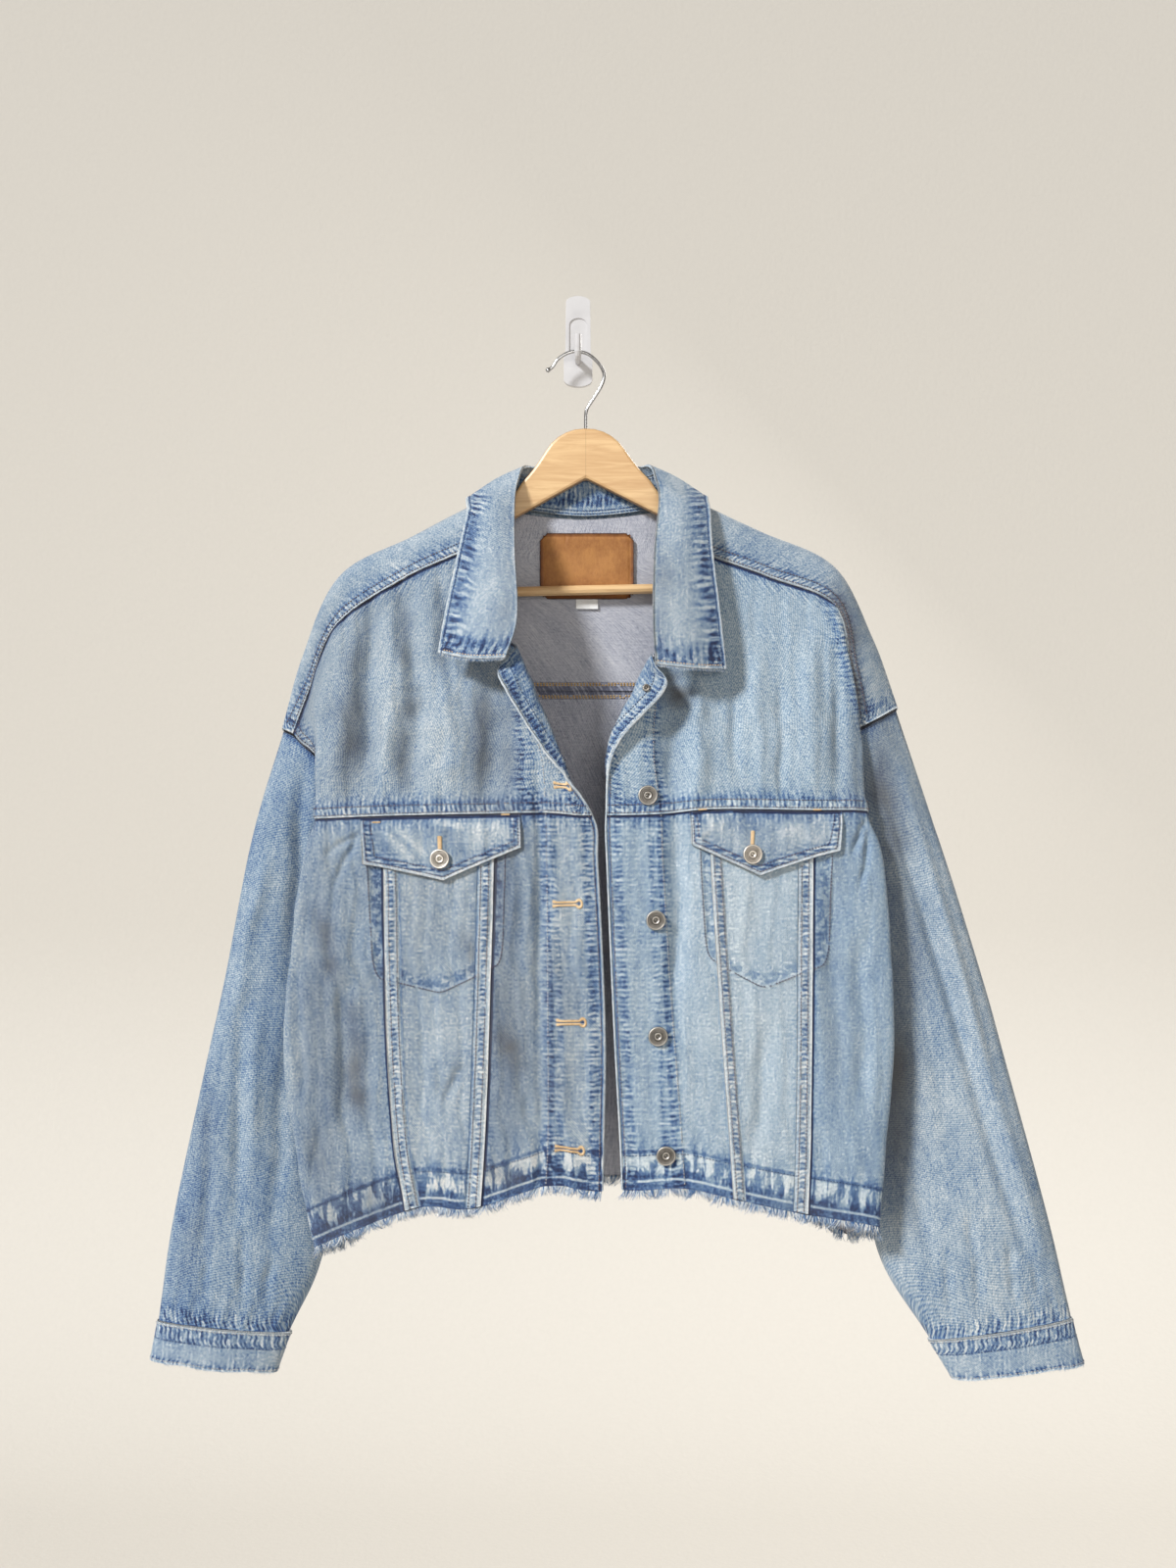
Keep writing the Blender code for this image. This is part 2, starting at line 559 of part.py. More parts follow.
def backs(yoke, panel, front, collection):
    """Back yoke over both shoulders and the back panel under it, with its fringe."""
    stations = np.array(YOKE_STATIONS, float)
    points = yoke.at(*grid_of(YOKE_ROWS, stations))
    cloth("back_yoke", drawn_in(points), CLOTH, yoke.outward, "denim", collection)

    matched = np.interp(stations, BACK_STATIONS, range(len(BACK_STATIONS)))
    rows, columns = grid_of(BACK_ROWS, matched)
    points = panel.at(rows, columns)
    fade = (1 - rows / 5)[..., None] ** 4
    on_yoke = yoke.at(np.zeros_like(stations), stations)
    points += fade * (on_yoke - points[0])
    for net, edge in ((front["left"], 0), (front["right"], -1)):
        seam_rows = np.maximum(rows[:, 0] - BACK_UNDERARM_ROW, 0) + UNDERARM_ROW
        on_front = net.at(seam_rows, np.full(len(rows), float(SIDE)))
        below = (rows[:, 0] >= BACK_UNDERARM_ROW)[:, None]
        shift = np.where(below, on_front - points[:, edge], 0)
        reach = np.abs(columns - columns[0, edge])
        points += shift[:, None] * (np.clip(1 - reach / 1.5, 0, 1) ** 2)[..., None]
    cloth("back_panel", drawn_in(points), CLOTH, panel.outward, "denim", collection)

    edge = points[-2:]
    down = (edge[1] - edge[0]) / np.linalg.norm(edge[1] - edge[0], axis=-1, keepdims=True)
    fringe = np.stack([edge[1] + down * LAYER_GAP, edge[1] + down * FRINGE_REACH])
    cloth("fringe_back", drawn_in(fringe, 3 * SEAM_GAP), CLOTH, panel.outward, "fringe",
          collection)


def along(points, shares):
    """Points at shares of the length of a polyline."""
    points = np.asarray(points, float)
    length = np.concatenate([[0], np.cumsum(np.linalg.norm(np.diff(points, axis=0), axis=1))])
    return np.stack([np.interp(shares * length[-1], length, points[:, k]) for k in range(3)],
                    axis=-1)


def armhole(side, yoke, front, panel, turns):
    """Points round the armhole; turns count half turns from its top over the front."""
    tip = 0 if side == "left" else 14
    edge = 0.0 if side == "left" else 6.0
    first_row = 0 if side == "left" else 2
    over = yoke.at(np.array([3.0, 4.0, 5.0]), np.full(3, float(tip)))
    rows = np.arange(first_row, UNDERARM_ROW + 0.1, 0.5)
    forward = np.vstack([over, front.at(rows, np.full(len(rows), float(SIDE)))[1:]])
    behind = np.vstack([yoke.at(np.array([3.0, 2.0, 1.0]), np.full(3, float(tip))),
                        panel.at(np.array([0.0, 0.5, 1.0, 1.5]), np.full(4, edge)),
                        forward[-1:]])
    turns = np.mod(turns, 2)
    on_front = along(forward, np.clip(turns, 0, 1))
    on_back = along(behind, np.clip(2 - turns, 0, 1))
    ring = np.where((turns <= 1)[:, None], on_front, on_back)
    centre = along(forward, np.array([0.0, 1.0])).mean(axis=0)
    inward = centre - ring
    inward /= np.linalg.norm(inward, axis=-1, keepdims=True)
    return ring + inward * SLEEVE_TUCK * MM


def ring(outer, inner, half_depth, turns):
    """A full oval through an outer and an inner point, flattened towards the wall."""
    outer, inner = (np.array(p, float) * (MM, -MM, MM) for p in (outer, inner))
    angle = np.asarray(turns) * math.pi
    across, deep = np.cos(angle), np.sin(angle)
    deep = np.sign(deep) * np.abs(deep) ** FULLNESS
    return ((outer + inner) / 2 + across[:, None] * (outer - inner) / 2
            + deep[:, None] * np.array([0, -half_depth * MM, 0]))


def sleeve(side, yoke, front, panel, collection):
    """Top and under sleeve, lofted from the armhole through the rings to the cuff."""
    hand = 1 if side == "left" else -1
    for name, (start, end), count in (
            ("sleeve_top", TOP_SLEEVE_TURN, 12),
            ("sleeve_under", UNDER_SLEEVE_TURN, 4)):
        turns = np.linspace(start, end, count)
        rings = [armhole(side, yoke, front, panel, turns)]
        rings += [ring(*row, turns) for row in SLEEVE_RINGS[side]]
        stack = np.stack(rings)
        share = curve_weights(np.linspace(0, len(rings) - 1, 12), len(rings))
        points = np.einsum("kr,rcx->kcx", share, stack)
        cloth(f"{name}_{side}", drawn_in(points, 2 * SEAM_GAP), CLOTH, -hand, "denim",
              collection)
    cuff(side, hand, collection)


def cuff(side, hand, collection):
    """A double band round the sleeve's end, its ends lapped at the back and buttoned."""
    turns = np.linspace(*CUFF_TURNS, 20)
    (top_outer, top_inner), (low_outer, low_inner) = CUFF_ENDS[side]
    top = ring(top_outer, top_inner, CUFF_DEPTH, turns)
    low = ring(low_outer, low_inner, CUFF_DEPTH - 1, turns)
    down = (low - top) / np.linalg.norm(low - top, axis=-1, keepdims=True)
    share = np.linspace(0, 1, 3)[:, None, None]
    points = top + down * CUFF_DROP + share * (low - top)
    centre = points.mean(axis=1, keepdims=True)
    away = points - centre
    away /= np.linalg.norm(away, axis=-1, keepdims=True)
    lap = np.linspace(0, 1, len(turns))[None, :, None]
    points = points + away * lap * (DOUBLE_CLOTH + CUFF_LAP)
    cloth(f"cuff_{side}", points, DOUBLE_CLOTH, -hand, "denim", collection)

    seat = along(points[1], np.array([CUFF_BUTTON_SHARE]))[0]
    button(f"button_cuff_{side}", seat, TOWARDS_WALL, CUFF_BUTTON_RADIUS / BUTTON_RADIUS,
           collection)


def turned(name, profile, scale, collection, material_name, steps=14):
    """A round piece from half its section, seated on the plane z = 0."""
    mesh = bpy.data.meshes.new(name)
    points = [(r * MM * scale, 0, z * MM * scale) for r, z in profile]
    mesh.from_pydata(points, [(k, k + 1) for k in range(len(points) - 1)], [])
    piece = place(name, mesh, material_name, collection)
    screw = piece.modifiers.new("turn", "SCREW")
    screw.steps = screw.render_steps = steps
    screw.use_merge_vertices = True
    screw.merge_threshold = 0.00001
    screw.use_smooth_shade = True
    return piece


def button(name, seat, way, scale, collection, profile=BUTTON_PROFILE):
    """A tack button standing on the cloth at its seat, with its face towards way."""
    piece = turned(name, profile, scale, collection, "pewter")
    way = Vector(way).normalized()
    piece.rotation_euler = way.to_track_quat("Z", "Y").to_euler()
    piece.location = Vector(seat) + way * LAYER_GAP
    return piece


def buttons(front, collection):
    """Four buttons down the right front, the turned one on the lapel, one on each flap."""
    net = front["right"]
    for number, (x, z) in enumerate(FRONT_BUTTONS, start=2):
        row, column = net.place_of(x, z, (0.9, INNER))
        row, column = np.array([row]), np.array([column])
        button(f"button_front_{number}", net.at(row, column)[0], net.normal(row, column)[0],
               1, collection)
    column, row = (np.array([value]) for value in TURNED_BUTTON)
    way = net.normal(row, column)[0]
    button("button_front_1", net.layer(row, column, TURNED_BUTTON_LIFT)[0], way, 1,
           collection)
    inside = net.layer(row, column, -CLOTH - FACING_GAP - FACING)[0]
    button("button_back_1", inside, -way, 1, collection, profile=TACK_PROFILE)
    for side, (column, row) in FLAP_BUTTONS.items():
        net = front[side]
        row, column = np.array([row]), np.array([column])
        button(f"button_flap_{side}", net.layer(row, column, FLAP_LIFT)[0],
               net.normal(row, column)[0], 1, collection)


def collar(collection):
    """The fall, folded over round the neck, and the stand that carries it."""
    fall = Net(COLLAR, 1)
    stations = np.linspace(0, 16, 33)
    share = np.linspace(0, 2, 4)
    points = fall.at(*grid_of(stations, share)).swapaxes(0, 1)
    cloth("collar", points, DOUBLE_CLOTH, 1, "denim", collection)
    stand = Net(COLLAR_STAND, 1)
    points = stand.at(*grid_of(stations, np.linspace(0, 1, 3))).swapaxes(0, 1)
    cloth("collar_stand", drawn_in(points), STAND, -1, "denim", collection)


def flat_outline(name, outline, thick, out, material_name, collection):
    """A flat piece parallel to the wall from its outline in x and z, as a filled curve."""
    curve = bpy.data.curves.new(name, "CURVE")
    curve.dimensions = "2D"
    curve.fill_mode = "BOTH"
    curve.extrude = thick * MM / 2
    spline = curve.splines.new("POLY")
    spline.points.add(len(outline) - 1)
    for point, (x, z) in zip(spline.points, outline):
        point.co = (x * MM, z * MM, 0, 1)
    spline.use_cyclic_u = True
    piece = bpy.data.objects.new(name, curve)
    collection.objects.link(piece)
    piece.rotation_euler = (math.radians(90), 0, 0)
    piece.location = (0, -out * MM, 0)
    return frozen(piece, material_name, collection)


def glued_boards(name, outline, thick, out, material_name, collection):
    """A flat solid parallel to the wall whose outline in x and z is two mirrored halves, so
    that each flat side is two faces that meet on the line down its middle."""
    count = len(outline)
    foot = count // 2
    bm = bmesh.new()
    layers = [[bm.verts.new((x * MM, -(out + side * thick / 2) * MM, z * MM)) for x, z in outline]
              for side in (1, -1)]
    for layer in layers:
        bm.faces.new(layer[:foot + 1])
        bm.faces.new(layer[foot:] + layer[:1])
    for i in range(count):
        j = (i + 1) % count
        bm.faces.new((layers[0][i], layers[0][j], layers[1][j], layers[1][i]))
    bmesh.ops.recalc_face_normals(bm, faces=bm.faces)
    mesh = bpy.data.meshes.new(name)
    bm.to_mesh(mesh)
    bm.free()
    return place(name, mesh, material_name, collection)


def frozen(piece, material_name, collection):
    """A curve made a mesh in its place, with its caps welded."""
    bpy.context.view_layer.update()
    graph = bpy.context.evaluated_depsgraph_get()
    mesh = bpy.data.meshes.new_from_object(piece.evaluated_get(graph))
    matrix = piece.matrix_world.copy()
    name = piece.name
    bpy.data.objects.remove(piece)
    bm = bmesh.new()
    bm.from_mesh(mesh)
    bmesh.ops.remove_doubles(bm, verts=bm.verts, dist=0.00001)
    bm.to_mesh(mesh)
    bm.free()
    solid = place(name, mesh, material_name, collection)
    solid.matrix_world = matrix
    return solid


def wire(name, points, radius, material_name, collection, resolution=3):
    """A round wire through points in metres, with filled caps."""
    curve = bpy.data.curves.new(name, "CURVE")
    curve.dimensions = "3D"
    curve.bevel_depth = radius
    curve.bevel_resolution = resolution
    curve.use_fill_caps = True
    spline = curve.splines.new("POLY")
    spline.points.add(len(points) - 1)
    for point, place_at in zip(spline.points, points):
        point.co = (*place_at, 1)
    piece = bpy.data.objects.new(name, curve)
    collection.objects.link(piece)
    return frozen(piece, material_name, collection)


def bevelled(piece, width, segments, angle=30):
    bevel = piece.modifiers.new("edges", "BEVEL")
    bevel.width = width * MM
    bevel.segments = segments
    bevel.limit_method = "ANGLE"
    bevel.angle_limit = math.radians(angle)


def boolean(piece, tool, operation):
    cut = piece.modifiers.new(operation.lower(), "BOOLEAN")
    cut.operation = operation
    cut.object = tool
    cut.solver = "EXACT"


def hidden_tool(tool, cutters, collection):
    collection.objects.unlink(tool)
    cutters.objects.link(tool)
    tool.hide_render = True
    tool.display_type = "WIRE"


def hanger(collection, cutters):
    """Two arms glued at the middle, a bar in their sockets and a wire hook."""
    half = list(HANGER_TOP) + list(HANGER_UNDER)
    outline = half + [(-x, z) for x, z in half[-2:0:-1]]
    cos, sin = math.cos(HANGER_TILT), math.sin(HANGER_TILT)
    tilted = []
    for x, z in outline:
        up = z - HANGER_PIVOT_Z
        tilted.append((HANGER_CENTRE_X + x * cos - up * sin, HANGER_PIVOT_Z + up * cos + x * sin))
    wood = glued_boards("hanger_wood", tilted, HANGER_THICK, HANGER_OUT, "maple", collection)
    bevelled(wood, HANGER_BEVEL, 2, angle=50)
    wood.modifiers["edges"].use_clamp_overlap = False

    drop = BAR_Z - HANGER_PIVOT_Z
    middle = Vector((HANGER_CENTRE_X - drop * sin, 0, HANGER_PIVOT_Z + drop * cos))
    ends = {}
    for name, half_length, radius in (
            ("bar", BAR_HALF, BAR_RADIUS), ("socket", BAR_HALF + BAR_SOCKET,
                                            BAR_RADIUS + BAR_SOCKET)):
        reach = Vector((half_length * cos, 0, half_length * sin))
        points = [Vector((p.x * MM, -HANGER_OUT * MM, p.z * MM))
                  for p in (middle - reach, middle + reach)]
        label = "hanger_bar" if name == "bar" else "bar_socket"
        ends[name] = wire(label, points, radius * MM, "maple", collection)
    boolean(wood, ends["socket"], "DIFFERENCE")
    hidden_tool(ends["socket"], cutters, collection)

    route = [(x * MM, -HANGER_OUT * MM, z * MM) for x, z in WIRE]
    wire("hanger_hook", route, WIRE_RADIUS * MM, "chrome", collection)


def wall_hook(collection, cutters):
    """An adhesive plate with an arched recess, and a thicker foot whose prong curls up."""
    arc = np.radians(np.arange(0, 181, 15))

    def arched(half_width, top_z, foot_z, top_rise, foot_rise):
        """An outline with half an ellipse at its top and another at its foot."""
        upper = [(math.cos(a) * half_width[0], top_z - top_rise + math.sin(a) * top_rise)
                 for a in arc]
        return upper + [(-math.cos(a) * half_width[1],
                         foot_z + foot_rise - math.sin(a) * foot_rise) for a in arc]

    top, foot = PLATE_TOP_WIDTH / 2, PLATE_FOOT_WIDTH / 2
    outline = arched((top, foot - 1), PLATE_TOP_Z, PLATE_FOOT_Z + 1, top * 0.5, foot * 0.5)
    plate = flat_outline("wall_hook", outline, PLATE_THICK, PLATE_THICK / 2, "plastic",
                         collection)
    bevelled(plate, PLATE_BEVEL, 2, angle=50)
    half = RECESS_WIDTH / 2
    outline = arched((half, half), RECESS_TOP_Z, FOOT_RISE_Z - 8, half * 0.8, 1)
    recess = flat_outline("recess", outline, PLATE_THICK, PLATE_THICK * 1.5 - RECESS_DEPTH,
                          "plastic", collection)
    boolean(plate, recess, "DIFFERENCE")
    hidden_tool(recess, cutters, collection)
    outline = arched((foot, foot), FOOT_RISE_Z, PLATE_FOOT_Z, 5, foot * 0.5)
    thick = flat_outline("foot", outline, FOOT_THICK, FOOT_THICK / 2, "plastic", collection)
    bevelled(thick, PLATE_BEVEL, 2, angle=50)
    boolean(plate, thick, "UNION")
    hidden_tool(thick, cutters, collection)
    route = [(0, -out * MM, z * MM) for out, z in PRONG]
    prong = wire("prong", route, PRONG_RADIUS * MM, "plastic", collection)
    bevelled(prong, 1.4, 2, angle=60)
    boolean(plate, prong, "UNION")
    hidden_tool(prong, cutters, collection)


def labels(collection):
    """The leather patch with its corners cut off and a folded care label under it."""
    half_width, half_height = PATCH_SIZE[0] / 2, PATCH_SIZE[1] / 2
    corner = PATCH_CORNER
    outline = []
    for x_way, z_way in ((1, 1), (-1, 1), (-1, -1), (1, -1)):
        pair = [(x_way * half_width, z_way * (half_height - corner)),
                (x_way * (half_width - corner), z_way * half_height)]
        outline += pair if x_way * z_way > 0 else pair[::-1]
    outline = [(x + PATCH_CENTRE[0], z + PATCH_CENTRE[1]) for x, z in outline]
    flat_outline("leather_patch", outline, PATCH_THICK, PATCH_BACK + PATCH_THICK / 2,
                 "leather", collection)
    top = PATCH_CENTRE[1] - half_height - 0.3
    across, tall = LABEL_SIZE
    box = [(PATCH_CENTRE[0] + x * across / 2, top - z * tall)
           for x, z in ((-1, 0), (1, 0), (1, 1), (-1, 1))]
    flat_outline("care_label", box, LABEL_THICK, PATCH_BACK + LABEL_THICK / 2, "label",
                 collection)


def main():
    clear_scene()
    jacket = new_collection("denim_jacket")
    cutters = new_collection("cutters")
    front = {side: front_net(side) for side in ("left", "right")}
    yoke = Net(np.array(BACK_YOKE).swapaxes(0, 1), -1)
    panel = Net(BACK_PANEL, 1)
    for side, net in front.items():
        fronts(side, net, yoke, jacket)
        sleeve(side, yoke, net, panel, jacket)
    backs(yoke, panel, front, jacket)
    collar(jacket)
    buttons(front, jacket)
    labels(jacket)
    hanger(jacket, cutters)
    wall_hook(jacket, cutters)


main()
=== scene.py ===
"""Looks of a washed denim jacket on a wooden hanger, hung from a small adhesive wall hook.

Metres, +Z up. The wall that the hook sticks to is the plane y = 0 and the jacket faces -Y.
Tables are in millimetres, and a point in them is (x, distance out from the wall, z).
"""

import math

import bpy
import numpy as np
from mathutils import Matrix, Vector


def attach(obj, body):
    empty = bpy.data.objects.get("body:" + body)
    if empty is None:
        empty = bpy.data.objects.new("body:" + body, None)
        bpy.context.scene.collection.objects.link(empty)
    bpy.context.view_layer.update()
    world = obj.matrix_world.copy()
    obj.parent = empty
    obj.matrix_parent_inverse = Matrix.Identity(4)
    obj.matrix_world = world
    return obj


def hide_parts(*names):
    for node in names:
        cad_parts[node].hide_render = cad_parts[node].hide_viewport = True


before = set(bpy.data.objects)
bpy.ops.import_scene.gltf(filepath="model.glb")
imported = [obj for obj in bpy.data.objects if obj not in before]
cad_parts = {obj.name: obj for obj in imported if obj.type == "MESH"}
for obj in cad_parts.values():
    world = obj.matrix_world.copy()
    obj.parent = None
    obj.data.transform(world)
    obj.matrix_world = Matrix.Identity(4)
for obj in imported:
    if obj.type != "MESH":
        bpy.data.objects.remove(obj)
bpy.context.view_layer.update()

MM = 0.001


# ---------------------------------------------------------------------------------------
# The room: a pale floor that curves up into a far wall, window light from high on the left,
# a soft lamp far in front, one behind on the right and a plain warm sky. The camera stands
# 1.6 m away from the wall's plane.

EYE = (0.009, -1.6, -0.4045)
LENS_IN_FRAME_HEIGHTS = 1788 / 1600
FLOOR_Z, FLOOR_HALF, CURVE_RADIUS = -2.0, 7.0, 1.2
FAR_WALL_Y, FAR_WALL_TOP = 3.4, 4.5
ROOM_COLOUR, SPECKLE = (0.64, 0.605, 0.55), (0.97, 1.02)
SUN_FROM, SUN_ANGLE, SUN_POWER, SUN_COLOUR = (-1.0, -1.0, 0.9), 10, 3.5, (0.965, 0.985, 1.0)
LAMPS_AIM = (0.02, 0, -0.45)
LAMPS = (                    # name, place, width, power and colour
    ("fill", (0.5, -3.2, 0.1), 1.6, 22, (1.0, 0.96, 0.9)),
    ("back", (1.6, 2.4, 1.1), 1.4, 38, (1.0, 0.98, 0.95)),
)
SKY_COLOUR, SKY_STRENGTH = (1.0, 0.94, 0.86), 0.26


class Value:
    """A socket of a material; arithmetic on it adds Math nodes."""

    def __init__(self, finish, socket):
        self.finish, self.socket = finish, socket

    def math(self, operation, *others):
        """A Math node fed by this value and the others, in that order."""
        settings = {"operation": operation}
        return self.finish.node("Math", settings, dict(enumerate((self, *others))))

    def __add__(self, other):
        return self.math("ADD", other)

    def __sub__(self, other):
        return self.math("SUBTRACT", other)

    def __rsub__(self, other):
        return self.finish.node("Math", {"operation": "SUBTRACT"}, {0: other, 1: self})

    def __mul__(self, other):
        return self.math("MULTIPLY", other)

    __radd__, __rmul__ = __add__, __mul__

    def between(self, low, high):
        """0 below low, 1 above high and a smooth step between them."""
        settings = {"interpolation_type": "SMOOTHSTEP"}
        return self.finish.node("MapRange", settings, {0: self, 1: low, 2: high})


class Finish:
    """A Principled material, with one method that adds any other node to it."""

    def __init__(self, name, **constants):
        self.material = bpy.data.materials.new(name)
        self.material.use_nodes = True
        self.tree = self.material.node_tree
        self.shader = self.tree.nodes["Principled BSDF"]
        for words, value in constants.items():
            self.shader.inputs[words.replace("_", " ").title()].default_value = value

    def node(self, kind, settings=None, sockets=None, out=0):
        """Adds a node: its settings first, then the values or links of its sockets."""
        made = self.tree.nodes.new("ShaderNode" + kind)
        for name, value in (settings or {}).items():
            if name == "stops":
                fill_ramp(made.color_ramp, value)
            else:
                setattr(made, name, value)
        for name, value in (sockets or {}).items():
            self.feed(made.inputs[name], value)
        return Value(self, made.outputs[out])

    def feed(self, socket, value):
        if isinstance(value, Value):
            self.tree.links.new(value.socket, socket)
        else:
            socket.default_value = value

    def drive(self, **sockets):
        """Links values that change over the surface to the shader's own sockets."""
        for words, value in sockets.items():
            self.feed(self.shader.inputs[words.replace("_", " ").title()], value)
        return self.material

    def ramp(self, value, stops):
        """Colour stops (position, red, green, blue) read at a value."""
        return self.node("ValToRGB", {"stops": stops}, {0: value})

    def mix(self, share, first, second):
        """The first colour, and the second where share is 1."""
        return self.node("Mix", {"data_type": "RGBA"}, {0: share, 6: first, 7: second}, out=2)

    def scaled(self, vector, scale):
        settings = {"vector_type": "POINT"}
        return self.node("Mapping", settings, {"Vector": vector, "Scale": scale})

    def noise(self, vector, scale, detail, rough=0.5, twist=0.0):
        """Cloudy values about 0.5, in cells of 1/scale metres, or of one size each way."""
        scale = scale if isinstance(scale, tuple) else (scale,) * 3
        sockets = {"Vector": self.scaled(vector, scale), "Scale": 1.0, "Detail": detail,
                   "Roughness": rough, "Distortion": twist}
        return self.node("TexNoise", {"noise_dimensions": "3D"}, sockets)

    def place(self):
        return self.node("TexCoord", out="Object")

    def layer(self, name, out="Vector"):
        """An attribute that the mesh carries."""
        return self.node("Attribute", {"attribute_name": name}, out=out)

    def part(self, vector, number):
        """One of a vector's three values."""
        return self.node("SeparateXYZ", None, {0: vector}, out=number)

    def part_of_colour(self, colour, number):
        return self.node("SeparateColor", None, {0: colour}, out=number)

    def bump(self, height, distance, strength):
        sockets = {"Height": height, "Distance": distance, "Strength": strength}
        self.drive(normal=self.node("Bump", None, sockets))


def fill_ramp(ramp, stops):
    """Makes a ramp's stops those of a list; a new ramp has two."""
    while len(ramp.elements) < len(stops):
        ramp.elements.new(1.0)
    for element, (position, *colour) in zip(ramp.elements, stops):
        element.position = position
        element.color = (*colour, 1.0)


def mesh_piece(name, points, faces):
    """A mesh object at the origin from arrays of points and faces."""
    mesh = bpy.data.meshes.new(name)
    mesh.from_pydata(points.tolist(), [], faces if isinstance(faces, list) else faces.tolist())
    mesh.polygons.foreach_set("use_smooth", np.full(len(mesh.polygons), True))
    mesh.update()
    piece = bpy.data.objects.new(name, mesh)
    bpy.context.scene.collection.objects.link(piece)
    return piece


def grid_faces(rows, columns, wrap=False):
    """Four-cornered faces of a grid of points stored row by row."""
    across = columns if wrap else columns - 1
    r, c = np.meshgrid(np.arange(rows - 1), np.arange(across), indexing="ij")
    r, c = r.ravel(), c.ravel()
    after = (c + 1) % columns
    return np.stack([r * columns + c, (r + 1) * columns + c,
                     (r + 1) * columns + after, r * columns + after], axis=1)


def aim(thing, place, target):
    """Puts a lamp or the camera at a place, its -Z axis on the target."""
    thing.location = place
    way = Vector(target) - Vector(place)
    thing.rotation_euler = way.to_track_quat("-Z", "Y").to_euler()
    bpy.context.scene.collection.objects.link(thing)


def softbox(name, place, size, power, colour):
    lamp = bpy.data.lights.new(name, "AREA")
    lamp.shape, lamp.size, lamp.energy, lamp.color = "DISK", size, power, colour
    aim(bpy.data.objects.new(name, lamp), place, LAMPS_AIM)


def room():
    """A floor profile, a quarter round and a far wall, drawn out sideways."""
    turn = np.linspace(0, math.pi / 2, 16)
    y = np.concatenate([[-FLOOR_HALF], FAR_WALL_Y - CURVE_RADIUS * (1 - np.sin(turn)),
                        [FAR_WALL_Y]])
    z = np.concatenate([[FLOOR_Z], FLOOR_Z + CURVE_RADIUS * (1 - np.cos(turn)), [FAR_WALL_TOP]])
    points = np.array([(x, a, b) for a, b in zip(y, z) for x in (-FLOOR_HALF, FLOOR_HALF)])
    backdrop = mesh_piece("backdrop", points, grid_faces(len(y), 2)[:, ::-1])
    plaster = Finish("pale_plaster", roughness=0.9)
    speckle = plaster.noise(plaster.place(), 90, 3)
    dark, light = (tuple(c * k for c in ROOM_COLOUR) + (1,) for k in SPECKLE)
    plaster.drive(base_color=plaster.mix(speckle, dark, light))
    plaster.bump(speckle, 0.002, 0.3)
    backdrop.data.materials.append(plaster.material)


room()
window = bpy.data.lights.new("window", "SUN")
window.energy, window.angle, window.color = SUN_POWER, math.radians(SUN_ANGLE), SUN_COLOUR
aim(bpy.data.objects.new("window", window), SUN_FROM, (0, 0, 0))
for lamp in LAMPS:
    softbox(*lamp)
sky = bpy.data.worlds.new("sky")
sky.use_nodes = True
background = sky.node_tree.nodes["Background"].inputs
background["Color"].default_value = (*SKY_COLOUR, 1)
background["Strength"].default_value = SKY_STRENGTH
bpy.context.scene.world = sky
view = bpy.data.cameras.new("camera")
view.sensor_fit, view.sensor_height = "VERTICAL", 24
view.lens = view.sensor_height * LENS_IN_FRAME_HEIGHTS
camera = bpy.data.objects.new("camera", view)
aim(camera, EYE, (EYE[0], 0, EYE[2]))
bpy.context.scene.camera = camera


# ---------------------------------------------------------------------------------------
# The hanger: two arms of pale maple, sawn out, rounded over on a router and glued at the
# middle, a turned trouser bar pushed into their sockets, and a chromed wire hook. It
# hangs from a moulded white plastic hook with an adhesive back.

HANGER_OUT, HANGER_MIDDLE_X = 22, 7
WIRE_RADIUS, WIRE_BALL_RADIUS = 1.55, 2.3
WIRE = (                     # (x, z) from the ball over the prong to the crown
    (-29, -33), (-23, -29), (-18, -22), (-10, -16.8), (-2, -15), (8, -17), (16, -23),
    (22, -31), (23.5, -38), (20, -48), (13, -59), (8, -67), (7, -74), (7, -85.5),
)
MAPLE_DARK, MAPLE_PALE = (0.60, 0.355, 0.16), (0.79, 0.53, 0.27)
GLUE, GLUE_SHARE, GLUE_HALF = (0.25, 0.13, 0.06), 0.4, 0.35
# Painted shade: the rounded edges, lit brighter than the flat faces, are darkened, from y of the
# normal in the flat to y where they are full.
ROUNDED_EDGE_SHADE, ROUNDED_EDGE_SHADE_SHARE, FLAT_Y, ROUNDED_Y = (0.36, 0.2, 0.085), 0.55, -0.97, -0.6
CHROME_STOPS = ((0.3, 0.38, 0.38, 0.39), (0.7, 0.6, 0.6, 0.61))
PLASTIC_STOPS = ((0.3, 0.58, 0.57, 0.58), (0.7, 0.66, 0.65, 0.66))


def dress(node, material):
    """Gives a carried-over solid a new finish in each of its slots."""
    solid = bpy.data.objects[node]
    if not solid.material_slots:
        solid.data.materials.append(material)
    for slot in solid.material_slots:
        slot.material = material


def declare(piece, material, node=None):
    """Gives a piece its finish and body, and hides the plain solid that it stands for."""
    piece.data.materials.append(material)
    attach(piece, "root")
    if node:
        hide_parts(node)


